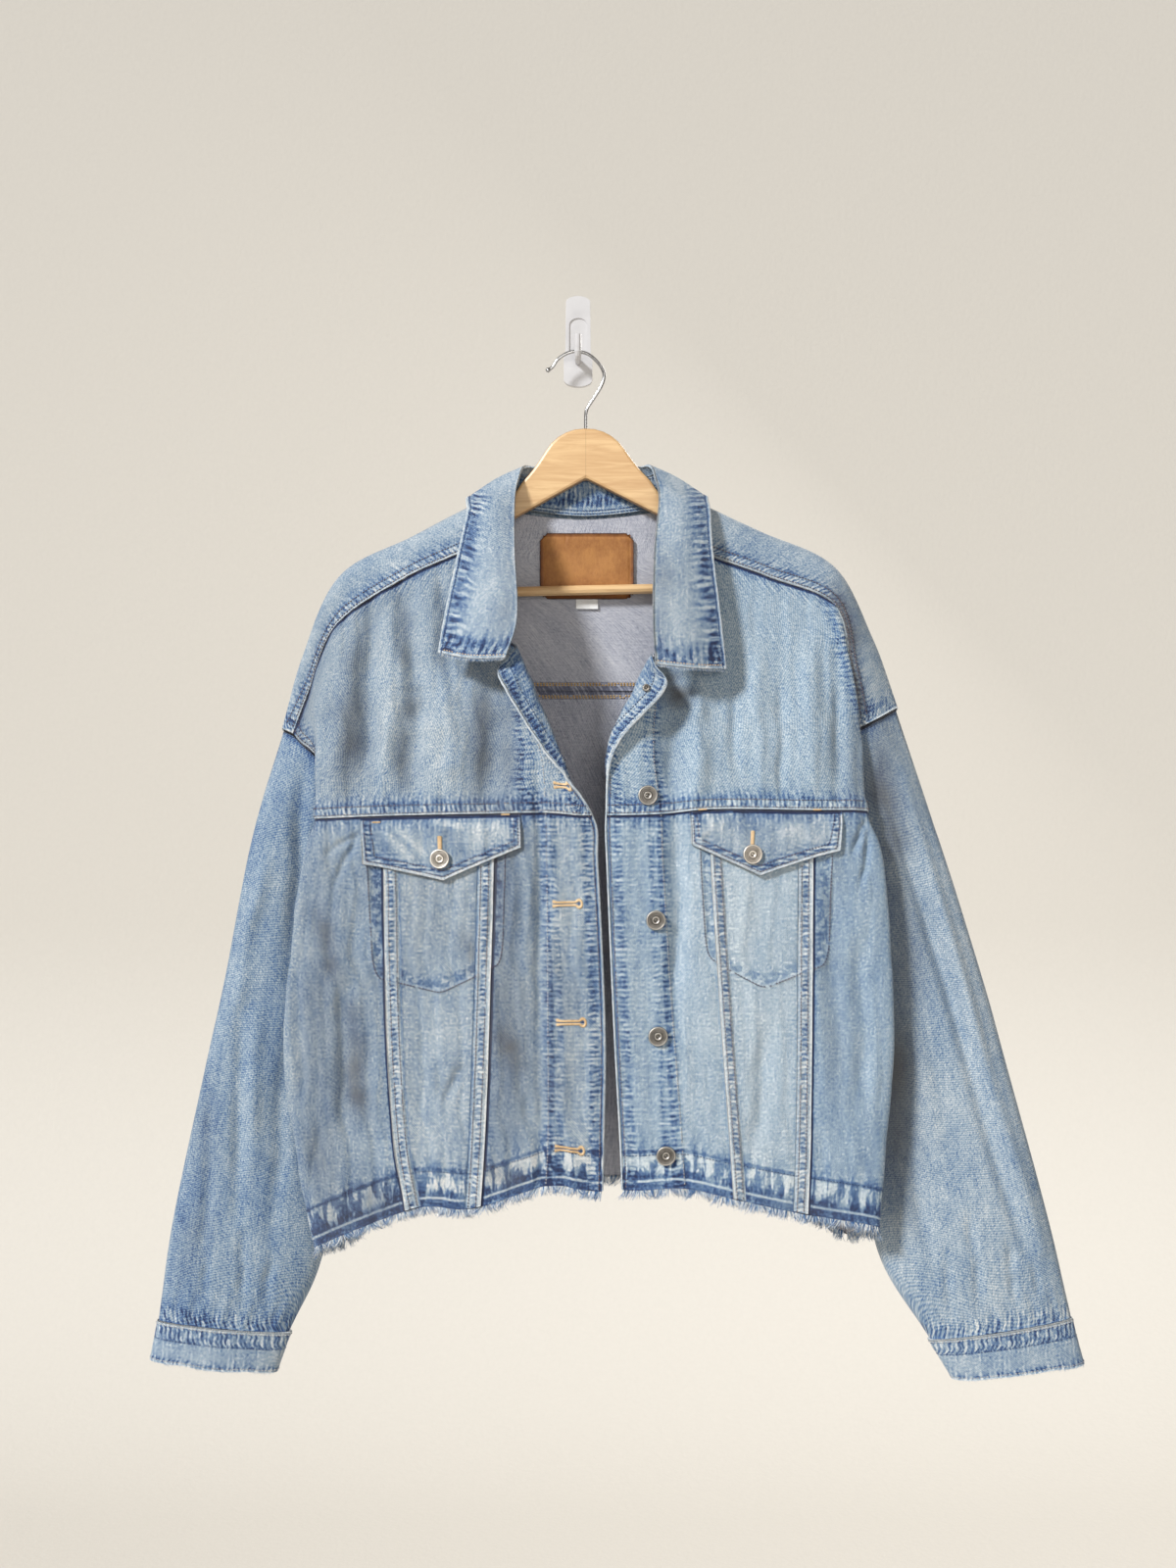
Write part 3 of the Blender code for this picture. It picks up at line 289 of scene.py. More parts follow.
def maple(name, joint):
    """Long grain along x with fine pores; the arms have a glue line and rounded edges, darkened as
    painted shade.
    """
    wood = Finish(name, roughness=0.42, coat_weight=0.25, coat_roughness=0.3)
    place = wood.place()
    warp = wood.noise(place, (9, 9, 30), 2)
    rings = wood.noise(place, (14, 120, 210), 4, 0.6, twist=0.8)
    pores = wood.noise(place, (120, 900, 1500), 2, 0.6)
    tone = rings.between(0.3, 0.7) * 0.65 + warp.between(0.35, 0.65) * 0.25 + pores * 0.2
    colour = wood.ramp(tone, [(0.1, *MAPLE_DARK), (0.85, *MAPLE_PALE)])
    if joint:
        beside = (wood.part(place, 0) - HANGER_MIDDLE_X * MM).math("ABSOLUTE")
        line = 1 - beside.between(GLUE_HALF * 0.3 * MM, GLUE_HALF * MM)
        colour = wood.mix(line * GLUE_SHARE, colour, (*GLUE, 1))
        # Painted shade on the rounded edges, by y of their normal.
        facing = wood.node("NewGeometry", out="Normal")
        rounded = wood.part(facing, 1).between(FLAT_Y, ROUNDED_Y)
        colour = wood.mix(rounded * ROUNDED_EDGE_SHADE_SHARE, colour, (*ROUNDED_EDGE_SHADE, 1))
    wood.drive(base_color=colour, roughness=0.34 + rings * 0.2)
    wood.bump(rings + pores * 0.6, 0.0004, 0.5)
    return wood.material


def unit(vectors):
    """The same directions, each one metre long."""
    return vectors / np.maximum(np.linalg.norm(vectors, axis=-1, keepdims=True), 1e-12)


def frames_along(path):
    """Two unit vectors square to a path at each of its points, the first also square to y."""
    way = unit(np.gradient(path, axis=0))
    side = unit(np.cross(way, (0.0, 1.0, 0.0)))
    return side, np.cross(way, side)


def curve_weights(at, count):
    """Share of each of count points in a Catmull-Rom curve at fractional places.

    The points beyond the ends repeat the last step, so the curve runs on straight.
    """
    eye = np.eye(count)
    padded = np.vstack([eye[:1] * 2 - eye[1:2], eye, eye[-1:] * 2 - eye[-2:-1]])
    first = np.clip(np.floor(at).astype(int), 0, count - 2)
    t = (at - first)[:, None]
    p0, p1, p2, p3 = (padded[first + k] for k in range(4))
    return 0.5 * (2 * p1 + (p2 - p0) * t + (2 * p0 - 5 * p1 + 4 * p2 - p3) * t ** 2
                  + (3 * p1 - p0 - 3 * p2 + p3) * t ** 3)


def tube(name, path, radii, sides=16):
    """A round tube: path + radius × (cos a, sin a) in its frames, with a point at each end."""
    one, two = frames_along(path)
    angle = np.linspace(0, 2 * math.pi, sides, endpoint=False)[None, :, None]
    radii = np.broadcast_to(radii, (len(path),))[:, None, None]
    around = np.cos(angle) * one[:, None] + np.sin(angle) * two[:, None]
    rings = (path[:, None] + radii * around).reshape(-1, 3)
    count = len(rings)
    points = np.vstack([rings, path[:1], path[-1:]])
    faces = grid_faces(len(path), sides, wrap=True).tolist()
    for k in range(sides):
        after = (k + 1) % sides
        faces.append((count, after, k))
        faces.append((count + 1, count - sides + k, count - sides + after))
    return mesh_piece(name, points, faces)


def wire_hook():
    """The bent wire, with the ball that its tip is dipped into."""
    bends = np.array([(x * MM, -HANGER_OUT * MM, z * MM) for x, z in WIRE])
    path = curve_weights(np.linspace(0, len(WIRE) - 1, 150), len(WIRE)) @ bends
    reach = np.linalg.norm(path - path[0], axis=1) / (WIRE_BALL_RADIUS * MM)
    ball = WIRE_BALL_RADIUS * MM * np.sqrt(np.clip(1 - (reach - 1) ** 2, 0, None))
    wire = WIRE_RADIUS * MM
    radii = np.where(reach < 1.75, np.maximum(ball, (reach > 1) * wire), wire)
    chrome = Finish("chrome", metallic=1.0)
    scuffs = chrome.noise(chrome.place(), (500, 500, 90), 3)
    chrome.drive(base_color=chrome.ramp(scuffs, CHROME_STOPS), roughness=0.1 + scuffs * 0.2)
    declare(tube("wire_hook", path, radii), chrome.material, "hanger_hook")


def moulded_plastic():
    """Glossy white with faint sink marks."""
    plastic = Finish("moulded_plastic", roughness=0.3)
    sink = plastic.noise(plastic.place(), 60, 2)
    plastic.drive(base_color=plastic.ramp(sink, PLASTIC_STOPS), roughness=0.22 + sink * 0.2)
    plastic.bump(sink, 0.0006, 0.35)
    return plastic.material


dress("hanger_wood", maple("maple_arms", True))
dress("hanger_bar", maple("maple_bar", False))
dress("wall_hook", moulded_plastic())
wire_hook()


# ---------------------------------------------------------------------------------------
# The back: one plain panel of light-washed twill and a yoke that runs over both shoulders
# to seams that lie forward on the chest. The pieces are lapped and stitched twice, and
# washing has left the seams' ridges white and their hollows dark.

CLOTH, SHOULDER_BAND = 1.3, 11.0
YOKE_TOP_ROW = 5
BACK_YOKE = (
    ((-250, 13, -386), (-256, 13, -376), (-262, 16, -364), (-266, 25, -355),
     (-262, 29, -356), (-255, 31, -359)),
    ((-225, 12, -360), (-236, 12, -330), (-244, 15, -300), (-247, 24, -290),
     (-247, 31, -297), (-241, 34, -323)),
    ((-195, 11.5, -338), (-206, 12, -280), (-212, 14, -228), (-214, 22, -217),
     (-216, 32, -228), (-216, 36, -263)),
    ((-140, 11.5, -324), (-145, 11.5, -260), (-148, 13, -190), (-150, 22, -182),
     (-152, 32, -192), (-154, 40, -221)),
    ((-80, 11.5, -321), (-82, 11.5, -250), (-85, 13, -161), (-86, 22, -151),
     (-85, 33, -161), (-81, 40, -185)),
    ((-62, 11.5, -320), (-66, 11.5, -250), (-74, 12, -178), (-78, 14, -160),
     (-80, 17, -150), (-81, 22, -146)),
    ((-48, 11.5, -320), (-52, 11.5, -255), (-58, 11.5, -205), (-62, 11.5, -182),
     (-65, 12, -168), (-66, 12.5, -157)),
    ((6, 11.5, -320), (6, 11.5, -258), (6, 11.5, -210), (6, 11.5, -188),
     (6, 11.5, -175), (6, 12, -165)),
    ((62, 11.5, -320), (66, 11.5, -255), (73, 11.5, -205), (77, 11.5, -182),
     (81, 12, -167), (82, 12.5, -156)),
    ((76, 11.5, -320), (80, 11.5, -250), (88, 12, -177), (92, 14, -159),
     (94, 17, -149), (95, 22, -145)),
    ((95, 11.5, -320), (96, 11.5, -248), (100, 13, -160), (101, 22, -150),
     (99, 33, -161), (94, 40, -189)),
    ((155, 11.5, -322), (160, 11.5, -255), (164, 13, -188), (166, 22, -178),
     (167, 32, -188), (166, 41, -219)),
    ((212, 11.5, -332), (222, 12, -275), (228, 14, -222), (230, 22, -209),
     (232, 32, -218), (229, 40, -246)),
    ((245, 12, -345), (254, 12, -315), (262, 15, -285), (265, 24, -273),
     (258, 36, -284), (243, 46, -308)),
    ((270, 13, -368), (278, 14, -356), (284, 18, -344), (287, 26, -336),
     (269, 39, -345), (250, 45, -354)),
)
BACK_STATIONS = (0, 2, 4, 7, 10, 12, 14)
BACK_PANEL = (
    ((-250, 13, -386), (-195, 11.5, -338), (-80, 11.5, -321), (6, 11.5, -320),
     (95, 11.5, -320), (212, 11.5, -332), (270, 13, -368)),
    ((-228, 14, -430), (-175, 12, -405), (-82, 11.5, -400), (6, 11.5, -400),
     (96, 11.5, -400), (192, 12, -400), (252, 15, -420)),
    ((-207, 42, -478), (-168, 13, -478), (-84, 11.5, -478), (6, 11.5, -478),
     (97, 11.5, -478), (186, 13, -478), (237, 42, -478)),
    ((-211, 40, -623), (-170, 13, -615), (-86, 12, -612), (6, 12, -610),
     (99, 12, -612), (190, 13, -615), (241, 40, -623)),
    ((-209, 38, -724), (-170, 13, -712), (-87, 12, -705), (6, 12, -702),
     (100, 12, -705), (190, 13, -710), (241, 38, -724)),
    ((-208, 36, -812), (-168, 13, -790), (-88, 12, -768), (6, 12, -760),
     (101, 12, -766), (190, 13, -786), (240, 36, -806)),
)
BACK_UNDERARM_ROW, BACK_HEM_ROW = 2, 5
# Creases as (x, z, x, z, half width, height), in millimetres; a trough is below 0.
BACK_CREASES = (
    (-120, -420, -112, -700, 9, -1.2), (-60, -470, -72, -745, 11, -1.0),
    (40, -440, 52, -730, 10, -1.3), (120, -400, 108, -640, 9, -1.0),
    (165, -460, 172, -740, 8, -0.9), (-165, -450, -158, -700, 8, -0.9),
    (-150, -350, -60, -470, 9, -0.8), (150, -360, 80, -480, 9, -0.9),
    (0, -520, -20, -740, 12, 0.8), (85, -560, 92, -745, 8, 0.7),
)
# Washed indigo from its darkest hollows to its bleached ridges, and the reverse of the
# cloth, where the undyed weft shows.
INDIGO = ((0.0, 0.01, 0.02, 0.07), (0.14, 0.02, 0.055, 0.17), (0.3, 0.06, 0.135, 0.29),
          (0.48, 0.185, 0.27, 0.375), (0.64, 0.305, 0.38, 0.455), (0.82, 0.47, 0.53, 0.58),
          (1.0, 0.7, 0.71, 0.7))
# Painted shade: dark grey mixed into the outer colour where the marks' third value is below 0, by
# the second share times that value; the third share of the value joins the tone.
SHADE_GREY, SHADE_SHARE, SHADE_AND_WASH_SHARE = (0.11, 0.108, 0.105, 1), 2.2, 0.5
NATURAL = (1, 1, 1)
REVERSE = ((0.0, 0.13, 0.14, 0.2), (0.35, 0.32, 0.335, 0.41), (0.6, 0.5, 0.51, 0.57),
           (0.85, 0.64, 0.64, 0.68), (1.0, 0.74, 0.73, 0.74))
# Seams by distance in millimetres: change of tone, and how strong the bars across are.
NO_SEAM = ((0, 0, 0), (1, 0, 0))
LAPPED = ((0, 0.22, 0.0), (1.2, 0.16, 0.0), (1.9, -0.05, 0.1), (2.6, 0.03, 0.9),
          (7.2, 0.03, 0.9), (8.4, -0.16, 0.4), (10.4, -0.16, 0.6), (14, -0.02, 0.5), (22, 0, 0))
# Below a lapped edge a dark line, partly unfaded indigo and partly painted shadow of the edge.
BELOW_SEAM = ((0, -0.8, 0.0), (1.9, -0.7, 0.0), (2.9, -0.08, 0.5), (8, 0.02, 0.45),
              (14, 0.02, 0.2), (20, 0, 0))
BESIDE_SEAM = ((0, -0.1, 0.1), (2, 0.03, 0.2), (8, 0.02, 0.1), (16, 0, 0))
# Beside a band's open edge the same dark line, partly unfaded indigo and partly painted shadow.
BESIDE_OPEN = ((0, -0.85, 0.0), (2.1, -0.75, 0.0), (3.1, -0.05, 0.2), (8, 0.02, 0.1), (16, 0, 0))
# The felled yoke seam as it shows on the reverse, on both sides of its stitched edge.
LINING = ((0, -0.34, 0.9), (3.6, -0.34, 0.9), (4.2, -0.14, 0.2), (6.8, -0.16, 0.2),
          (7.6, -0.3, 0.0), (8.4, 0.02, 0.0), (10, 0, 0))
# Painted shadow where the yoke turns round the right shoulder, in the same columns as the creases.
BACK_PAINTED_SHADOW = ((230, -226, 250, -345, 12, -0.34),)
SHOULDER_WEAR = ((-200, -270, -90, -200, 12, 0.4), (110, -200, 220, -255, 12, 0.4))
# Slubs, streaks, picks, specks, clouds and blotches: their cells a metre over the warp and
# along it, detail and roughness.
TWILL_NOISES = (((800, 60), 3, 0.6), ((190, 14), 2, 0.5), ((70, 900), 2, 0.5),
                ((560, 500), 2, 0.75), ((26, 15), 3, 0.5), ((120, 70), 3, 0.6))
FAR = 1.0                    # metres from a seam, so that it doesn't show
STITCH_RISE = 0.3
NEAR = 0.02                  # step in rows or columns for slopes
THREADS = {kind: [] for kind in ("pale", "worn", "plum", "navy", "tan", "brown", "gold")}


def uneven(at, seed):
    """Slow irregular wave between about -1 and 1: four sines of unrelated lengths."""
    return (np.sin(at + seed) + 0.7 * np.sin(at * 1.73 + seed * 2.3)
            + 0.5 * np.sin(at * 0.61 + seed * 3.7) + 0.4 * np.sin(at * 2.9 + seed * 5.1)) / 2.1


def step(value, low, high):
    """0 below low, 1 above high, smooth between them."""
    share = np.clip((value - low) / (high - low), 0, 1)
    return share * share * (3 - 2 * share)


def creases(table, facing=-1.0):
    """Folds pressed in: height × exp(-(distance / width)²), fading at both ends.

    They show where y of the normal, times facing, is over 0.05: in front where it is -1.
    """
    def fold(points, normals, rows, columns):
        height = np.zeros(points.shape[:-1])
        flat = points[..., [0, 2]]
        for x0, z0, x1, z1, width, depth in table:
            start, way = np.array((x0, z0)) * MM, np.array((x1 - x0, z1 - z0)) * MM
            length = np.linalg.norm(way)
            share = ((flat - start) @ way) / length ** 2
            sway = uneven(share * 5, x0) * 0.35 * width * MM
            off = flat - start - np.clip(share, 0, 1)[..., None] * way
            away = (off @ np.array((-way[1], way[0]))) / length + sway
            beyond = np.clip(np.abs(share - 0.5) - 0.5, 0, None) * length
            near = np.exp(-(away ** 2 + beyond ** 2) / (width * MM) ** 2)
            ends = step(share, -0.1, 0.25) * (1 - step(share, 0.7, 1.1))
            vary = 0.85 + 0.3 * uneven(share * 9, z0)
            height += depth * MM * near * vary * (0.25 + 0.75 * ends)
        return height * step(normals[..., 1] * facing, 0.05, 0.45)
    return fold


def shade_and_wash_bands(table, points, normals=None):
    """Changes of tone along listed bands, shaped as the creases are: painted shade and light on the
    fronts, back, sleeves and collar, and patches of wear on the flaps.
    """
    normals = np.full(points.shape, -1.0) if normals is None else normals
    return creases(table)(points, normals, None, None) / MM


def gap(points, others):
    """Distance in millimetres from each point to the other one."""
    return np.linalg.norm(points - others, axis=-1) / MM


def chain_length(points):
    """Length in metres from the first point of a chain to each point."""
    return np.append(0, np.cumsum(np.linalg.norm(np.diff(points, axis=0), axis=1)))


class Drape:
    """A smooth surface through a table of points, with folds pressed into it.

    A point is the Catmull-Rom mean of the table at a fractional row and column, moved
    along its normal by the height of all folds there and by lift.
    """

    def __init__(self, table, outward, folds=()):
        self.table = np.array(table, float) * (MM, -MM, MM)
        self.outward, self.folds = outward, tuple(folds)

    def base(self, rows, columns):
        rows, columns = np.broadcast_arrays(rows, columns)
        row_share = curve_weights(rows.ravel(), self.table.shape[0])
        column_share = curve_weights(columns.ravel(), self.table.shape[1])
        across = np.einsum("kc,rcx->krx", column_share, self.table)
        return np.einsum("kr,krx->kx", row_share, across).reshape(rows.shape + (3,))

    def normal(self, rows, columns):
        down = self.base(rows + NEAR, columns) - self.base(rows - NEAR, columns)
        across = self.base(rows, columns + NEAR) - self.base(rows, columns - NEAR)
        return unit(np.cross(across, down) * self.outward)

    def at(self, rows, columns, lift=0.0):
        rows, columns = (np.array(a, float) for a in np.broadcast_arrays(rows, columns))
        points, normals = self.base(rows, columns), self.normal(rows, columns)
        height = np.zeros(rows.shape) + lift * MM
        for fold in self.folds:
            height += fold(points, normals, rows, columns)
        return points + normals * height[..., None]

    def pressed(self, *folds):
        """The same cloth with more folds in it."""
        more = self.__class__.__new__(self.__class__)
        more.__dict__.update(self.__dict__, folds=self.folds + folds)
        return more

    def evenly(self, first, last, guide, spacing, along_rows):
        """Rows or columns from first to last, spaced evenly in millimetres at guide."""
        places = np.linspace(first, last, 400)
        points = self.base(places, guide) if along_rows else self.base(guide, places)
        length = chain_length(points)
        count = max(int(round(length[-1] / (spacing * MM))), 2) + 1
        return np.interp(np.linspace(0, length[-1], count), length, places)

    def graded(self, guide, along_rows, *stops):
        """The same in one run: stops hold a place, the spacing to the next, that place, ..."""
        runs = [self.evenly(first, last, guide, spacing, along_rows)[:-1]
                for first, spacing, last in zip(stops[::2], stops[1::2], stops[2::2])]
        return np.append(np.concatenate(runs), stops[-1])

    def aside(self, rows, columns, millimetres, along_rows):
        """Rows or columns moved by so many millimetres over the cloth."""
        if along_rows:
            span = self.base(rows + NEAR, columns) - self.base(rows - NEAR, columns)
        else:
            span = self.base(rows, columns + NEAR) - self.base(rows, columns - NEAR)
        rate = np.linalg.norm(span, axis=-1) / (2 * NEAR * MM)
        return (rows if along_rows else columns) + millimetres / rate


def crossed(rows, columns):
    """The rows and the columns of a grid's points."""
    return np.meshgrid(rows, columns, indexing="ij")


def arc_lengths(points):
    """Distances over the cloth from the first column, from the first row, and from the last
    ones."""
    across = np.linalg.norm(np.diff(points, axis=1), axis=-1)
    down = np.linalg.norm(np.diff(points, axis=0), axis=-1)
    u = np.concatenate([np.zeros((len(points), 1)), np.cumsum(across, axis=1)], axis=1)
    v = np.concatenate([np.zeros((1, points.shape[1])), np.cumsum(down, axis=0)], axis=0)
    return u, v, u[:, -1:] - u, v[-1:] - v


def wall(name, points, thickness, outward, seams=(FAR, FAR, FAR), marks=(FAR, FAR, 0),
         plumb=False, squared=False):
    """A closed wall of cloth: a grid, the same grid moved in by the thickness, and a
    rounded rim between them.

    Its attributes: grain is the distance over the cloth both ways and 1 inside; seams and
    marks are three distances or tones each, given by the caller for every grid point. The
    grain of a plumb piece starts from where its first row and column lie, so that it hangs
    straight whatever the slant of its edges; in a squared piece it is as long down every
    column, so that it meets both ends square.
    """
    rows, columns = points.shape[:2]
    grid_normal = unit(np.cross(np.gradient(points, axis=1), np.gradient(points, axis=0)))
    inner = points - grid_normal * outward * thickness * MM
    index = np.arange(rows * columns).reshape(rows, columns)
    loop = np.concatenate([index[0, :-1], index[:-1, -1], index[-1, :0:-1], index[:0:-1, 0]])
    edge_out, edge_in = points.reshape(-1, 3)[loop], inner.reshape(-1, 3)[loop]
    tangent = np.roll(edge_out, -1, axis=0) - np.roll(edge_out, 1, axis=0)
    away = unit(np.cross(tangent, grid_normal.reshape(-1, 3)[loop]))
    rim = (edge_out + edge_in) / 2 + away * thickness * 0.22 * MM
    count = rows * columns
    first = 2 * count + np.arange(len(loop))
    after, next_rim = np.roll(loop, -1), np.roll(first, -1)
    faces = np.concatenate([
        grid_faces(rows, columns),
        grid_faces(rows, columns)[:, ::-1] + count,
        np.stack([loop, first, next_rim, after], axis=1),
        np.stack([first, loop + count, after + count, next_rim], axis=1)])
    if outward < 0:
        faces = faces[:, ::-1]
    piece = mesh_piece(name, np.vstack([points.reshape(-1, 3), inner.reshape(-1, 3), rim]), faces)

    u, v = arc_lengths(points)[:2]
    if plumb:
        u = u + points[:, :1, 0] * np.sign(points[0, -1, 0] - points[0, 0, 0])
        v = v - points[:1, :, 2]
    if squared:
        v = v * (v[-1, v.shape[1] // 2] / v[-1:])
    for label, parts in (("grain", (u, v, 0)), ("seams", seams), ("marks", marks)):
        flat = np.stack([np.broadcast_to(part, u.shape) for part in parts], axis=-1)
        flat = flat.reshape(-1, 3)
        values = np.vstack([flat, flat, flat[loop]])
        if label == "grain":
            values[count:2 * count, 2] = 1
            values[2 * count:, 2] = 0.35
        layer = piece.data.attributes.new(label, "FLOAT_VECTOR", "POINT")
        layer.data.foreach_set("vector", values.astype(np.float32).ravel())
    return piece


def cut_of(points):
    """Width and length of the flat cut, from the grid's longest rows and columns, and its area."""
    u, v = arc_lengths(points)[:2]
    one, two = points[1:, 1:] - points[:-1, :-1], points[:-1, 1:] - points[1:, :-1]
    area = np.linalg.norm(np.cross(one, two), axis=-1).sum() / 2
    width, length = float(u[:, -1].max()), float(v[-1].max())
    return (width, length), float(min(area, width * length))


def sew_in(node, points, thickness, outward, material, rests_on, *layers, slot="denim_outer",
           **grain):
    """A wall of cloth in place of its plain solid, with its finish and body; its flat cut is worked
    out but not used.
    """
    piece = wall(f"{node}_cloth", points, thickness, outward, *layers, **grain)
    declare(piece, material, node)
    flat, area = cut_of(points)


def denim(name, tone, inside=0.56, upright=NO_SEAM, level=NO_SEAM, raw=NO_SEAM,
          front=NO_SEAM, pocket=NO_SEAM, both_faces=False, mottle=1.0, shade=SHADE_SHARE,
          light_tint=NATURAL, lining=None, pitch=1.0):
    """Washed twill that follows the cloth's own thread lines.

    Its tone is a sum: slubs and streaks down the warp, the broken diagonal of the weave,
    specks where the dye is worn off, slow faded clouds, the marks' third value, which is
    painted shade and light with some fading, and at each seam a change of tone with bars
    square to it. The tone picks a colour of the indigo or of its reverse. Where the third
    value is below 0 a dark grey is mixed in as painted shade, and the light tint gives the
    lit and the shaded sides their colours.
    """
    twill = Finish(name, roughness=0.9, sheen_weight=0.18, sheen_roughness=0.5)
    grain, seams, marks = (twill.layer(name) for name in ("grain", "seams", "marks"))
    inner = twill.part(grain, 2).between(0.5, 0.9)
    flat = twill.scaled(grain, (1, 1, 0))
    slubs, streaks, picks, specks, clouds, blotches = (
        twill.noise(flat, (*scale, 1), detail, rough) - 0.5
        for scale, detail, rough in TWILL_NOISES)
    weave = twill.node("TexWave", {"bands_direction": "DIAGONAL"},
                       {"Vector": flat, "Scale": 290, "Distortion": 2.2, "Detail": 1.0,
                        "Detail Scale": 1.5}) - 0.5
    cloth_tone = (slubs * 0.36 + streaks * 0.2 + picks * 0.22 + specks * 1.25
                  + weave * 0.2 + clouds * (0.42 * mottle) + blotches * (0.36 * mottle))

    def ladder(direction, scale):
        """Uneven rungs: a bent wave 4.3 mm long at pitch 1, broken up by blotches."""
        wave = twill.node("TexWave", {"bands_direction": direction},
                          {"Vector": flat, "Scale": 73 / pitch, "Distortion": 3.5,
                           "Detail": 1.5, "Detail Scale": 1.2})
        broken = twill.noise(flat, scale, 3, 0.55, 0.2).between(0.41, 0.57)
        return (wave.between(0.25, 0.8) * 0.5 + broken * 0.6) * -0.62 + 0.22

    patches = twill.noise(flat, (150, 150, 1), 3, 0.6).between(0.43, 0.56) * -0.62 + 0.2
    bars_over = ladder("Y", (85 / pitch, 235 / pitch, 1))
    bars_along = ladder("X", (235 / pitch, 85 / pitch, 1))
    bars_hem = twill.noise(flat, (135, 42, 1), 3, 0.6, 0.4).between(0.42, 0.56) * -0.62 + 0.24
    # The marks' third value: painted shade and light with some fading; it moves the tone and, below
    # 0, greys the colour as painted shade.
    shade_and_wash = twill.part(marks, 2)
    worn = cloth_tone + shade_and_wash * SHADE_AND_WASH_SHARE

    def seam_tone(vector, channel, stops, bars):
        """The change of tone so far from a seam, and its bars."""
        reach = stops[-1][0]
        distance = twill.part(vector, channel) * (1000 / reach)
        profile = twill.ramp(distance, [(mm / reach, 0.5 + change / 2, strength, 0)
                                        for mm, change, strength in stops])
        change = twill.part_of_colour(profile, 0) * 2 - 1
        return change + twill.part_of_colour(profile, 1) * bars

    for vector, channel, stops, bars in (
            (seams, 0, upright, bars_over), (seams, 1, level, bars_along),
            (seams, 2, raw, bars_hem if raw is RAW_HEM else bars_along),
            (marks, 0, front, bars_over), (marks, 1, pocket, patches)):
        if stops is not NO_SEAM:
            worn = worn + seam_tone(vector, channel, stops, bars)
    # The light tint, given per side: painted light and shade.
    dyed = [(at, red * light_tint[0], green * light_tint[1], blue * light_tint[2]) for at, red, green, blue in INDIGO]
    outer_colour = twill.mix(shade_and_wash * -shade, twill.ramp(worn + tone, dyed), SHADE_GREY)
    if both_faces:
        inner = 0.0
    reverse = slubs * 0.9 + picks * 0.35 + specks * 0.8 + weave * 0.1 + clouds * 0.4
    if lining:
        reverse = reverse + seam_tone(seams, *lining, bars_along)
    inner_colour = twill.ramp(reverse + inside, REVERSE)
    twill.drive(base_color=twill.mix(inner, outer_colour, inner_colour),
                roughness=0.84 + slubs * 0.2)
    twill.bump(slubs * 0.6 + specks * 0.8 + weave * 0.3 + picks * 0.3, 0.001, 0.6)
    return twill.material


def shoulder_band(points, normals, rows, columns):
    """The seam allowance inside the top edge: raised by 1 mm over 11 mm."""
    away = gap(points, BACK_YOKE_PLAIN.base(YOKE_TOP_ROW, columns))
    along = (points[..., 0] + points[..., 2]) / MM
    lumps = 1 + 0.35 * uneven(along * 1.3, 2.0)
    neck = step(np.abs(columns - 7), 2.2, 3.2)
    return MM * lumps * (1 - step(away, SHOULDER_BAND - 2, SHOULDER_BAND)) * neck


BACK_YOKE_PLAIN = Drape(np.array(BACK_YOKE).swapaxes(0, 1), -1)
back_yoke = BACK_YOKE_PLAIN.pressed(shoulder_band, creases(SHOULDER_WEAR, facing=-0.3))


class BackPanel(Drape):
    """The panel under the yoke, its top on the yoke's seam and its sides on the fronts'."""

    def base(self, rows, columns):
        rows, columns = np.broadcast_arrays(rows, columns)
        points = super().base(rows, columns)
        stations = np.interp(columns, range(7), BACK_STATIONS)
        top = super().base(0, columns)
        on_yoke = BACK_YOKE_PLAIN.base(0, stations)
        fade = np.clip(1 - rows / 5, 0, 1)[..., None] ** 4
        points = points + fade * (on_yoke - top)
        below = (rows >= BACK_UNDERARM_ROW)[..., None]
        for side, edge in (("left", 0), ("right", 6)):
            seam_rows = np.maximum(rows - BACK_UNDERARM_ROW, 0) + UNDERARM_ROW
            on_front = FRONT_PLAIN[side].base(seam_rows, SIDE)
            shift = np.where(below, on_front - super().base(rows, edge), 0)
            reach = np.clip(1 - np.abs(columns - edge) / 1.5, 0, 1) ** 2
            points = points + shift * reach[..., None]
        return points


# The fronts share their side seams with the back, so their measures come here.
FRONT_OUT = (
    (92, 86, 72, 40, 40, 36, 31),
    (104, 96, 86, 72, 60, 50, 34),
    (104, 98, 94, 86, 72, 60, 38),
    (100, 100, 98, 92, 80, 68, 42),
    (99, 99, 98, 94, 84, 72, 42),
    (97, 97, 96, 92, 84, 74, 40),
    (94, 94, 93, 90, 82, 72, 38),
    (92, 92, 91, 88, 80, 68, 36),
)
RIGHT_SIDE_OUT = {0: (42, 40), 1: (52, 46), 2: (58, 46)}
FRONT_X = {
    "left": (
        (-68, -54, -66, -81, -171, -216, -255),
        (-63, -40, -55, -78, -166, -222, -247),
        (-30, -17, -33, -78, -164, -226, -230),
        (12, -1, -28, -78, -163, -229, -209),
        (17, 3, -27, -79, -161, -240, -207),
        (23, 8, -26, -83, -158, -255, -211),
        (22, 7, -26, -87, -152, -246, -209),
        (21, 6, -28, -91, -142, -229, -208)),
    "right": (
        (73, 65, 77, 94, 194, 225, 231),
        (73, 51, 70, 96, 196, 238, 242),
        (32, 29, 66, 111, 200, 247, 249),
        (25, 39, 72, 119, 198, 252, 240),
        (26, 41, 74, 120, 197, 267, 237),
        (32, 48, 83, 129, 196, 275, 241),
        (37, 54, 90, 136, 195, 269, 241),
        (39, 56, 93, 140, 193, 263, 240)),
}
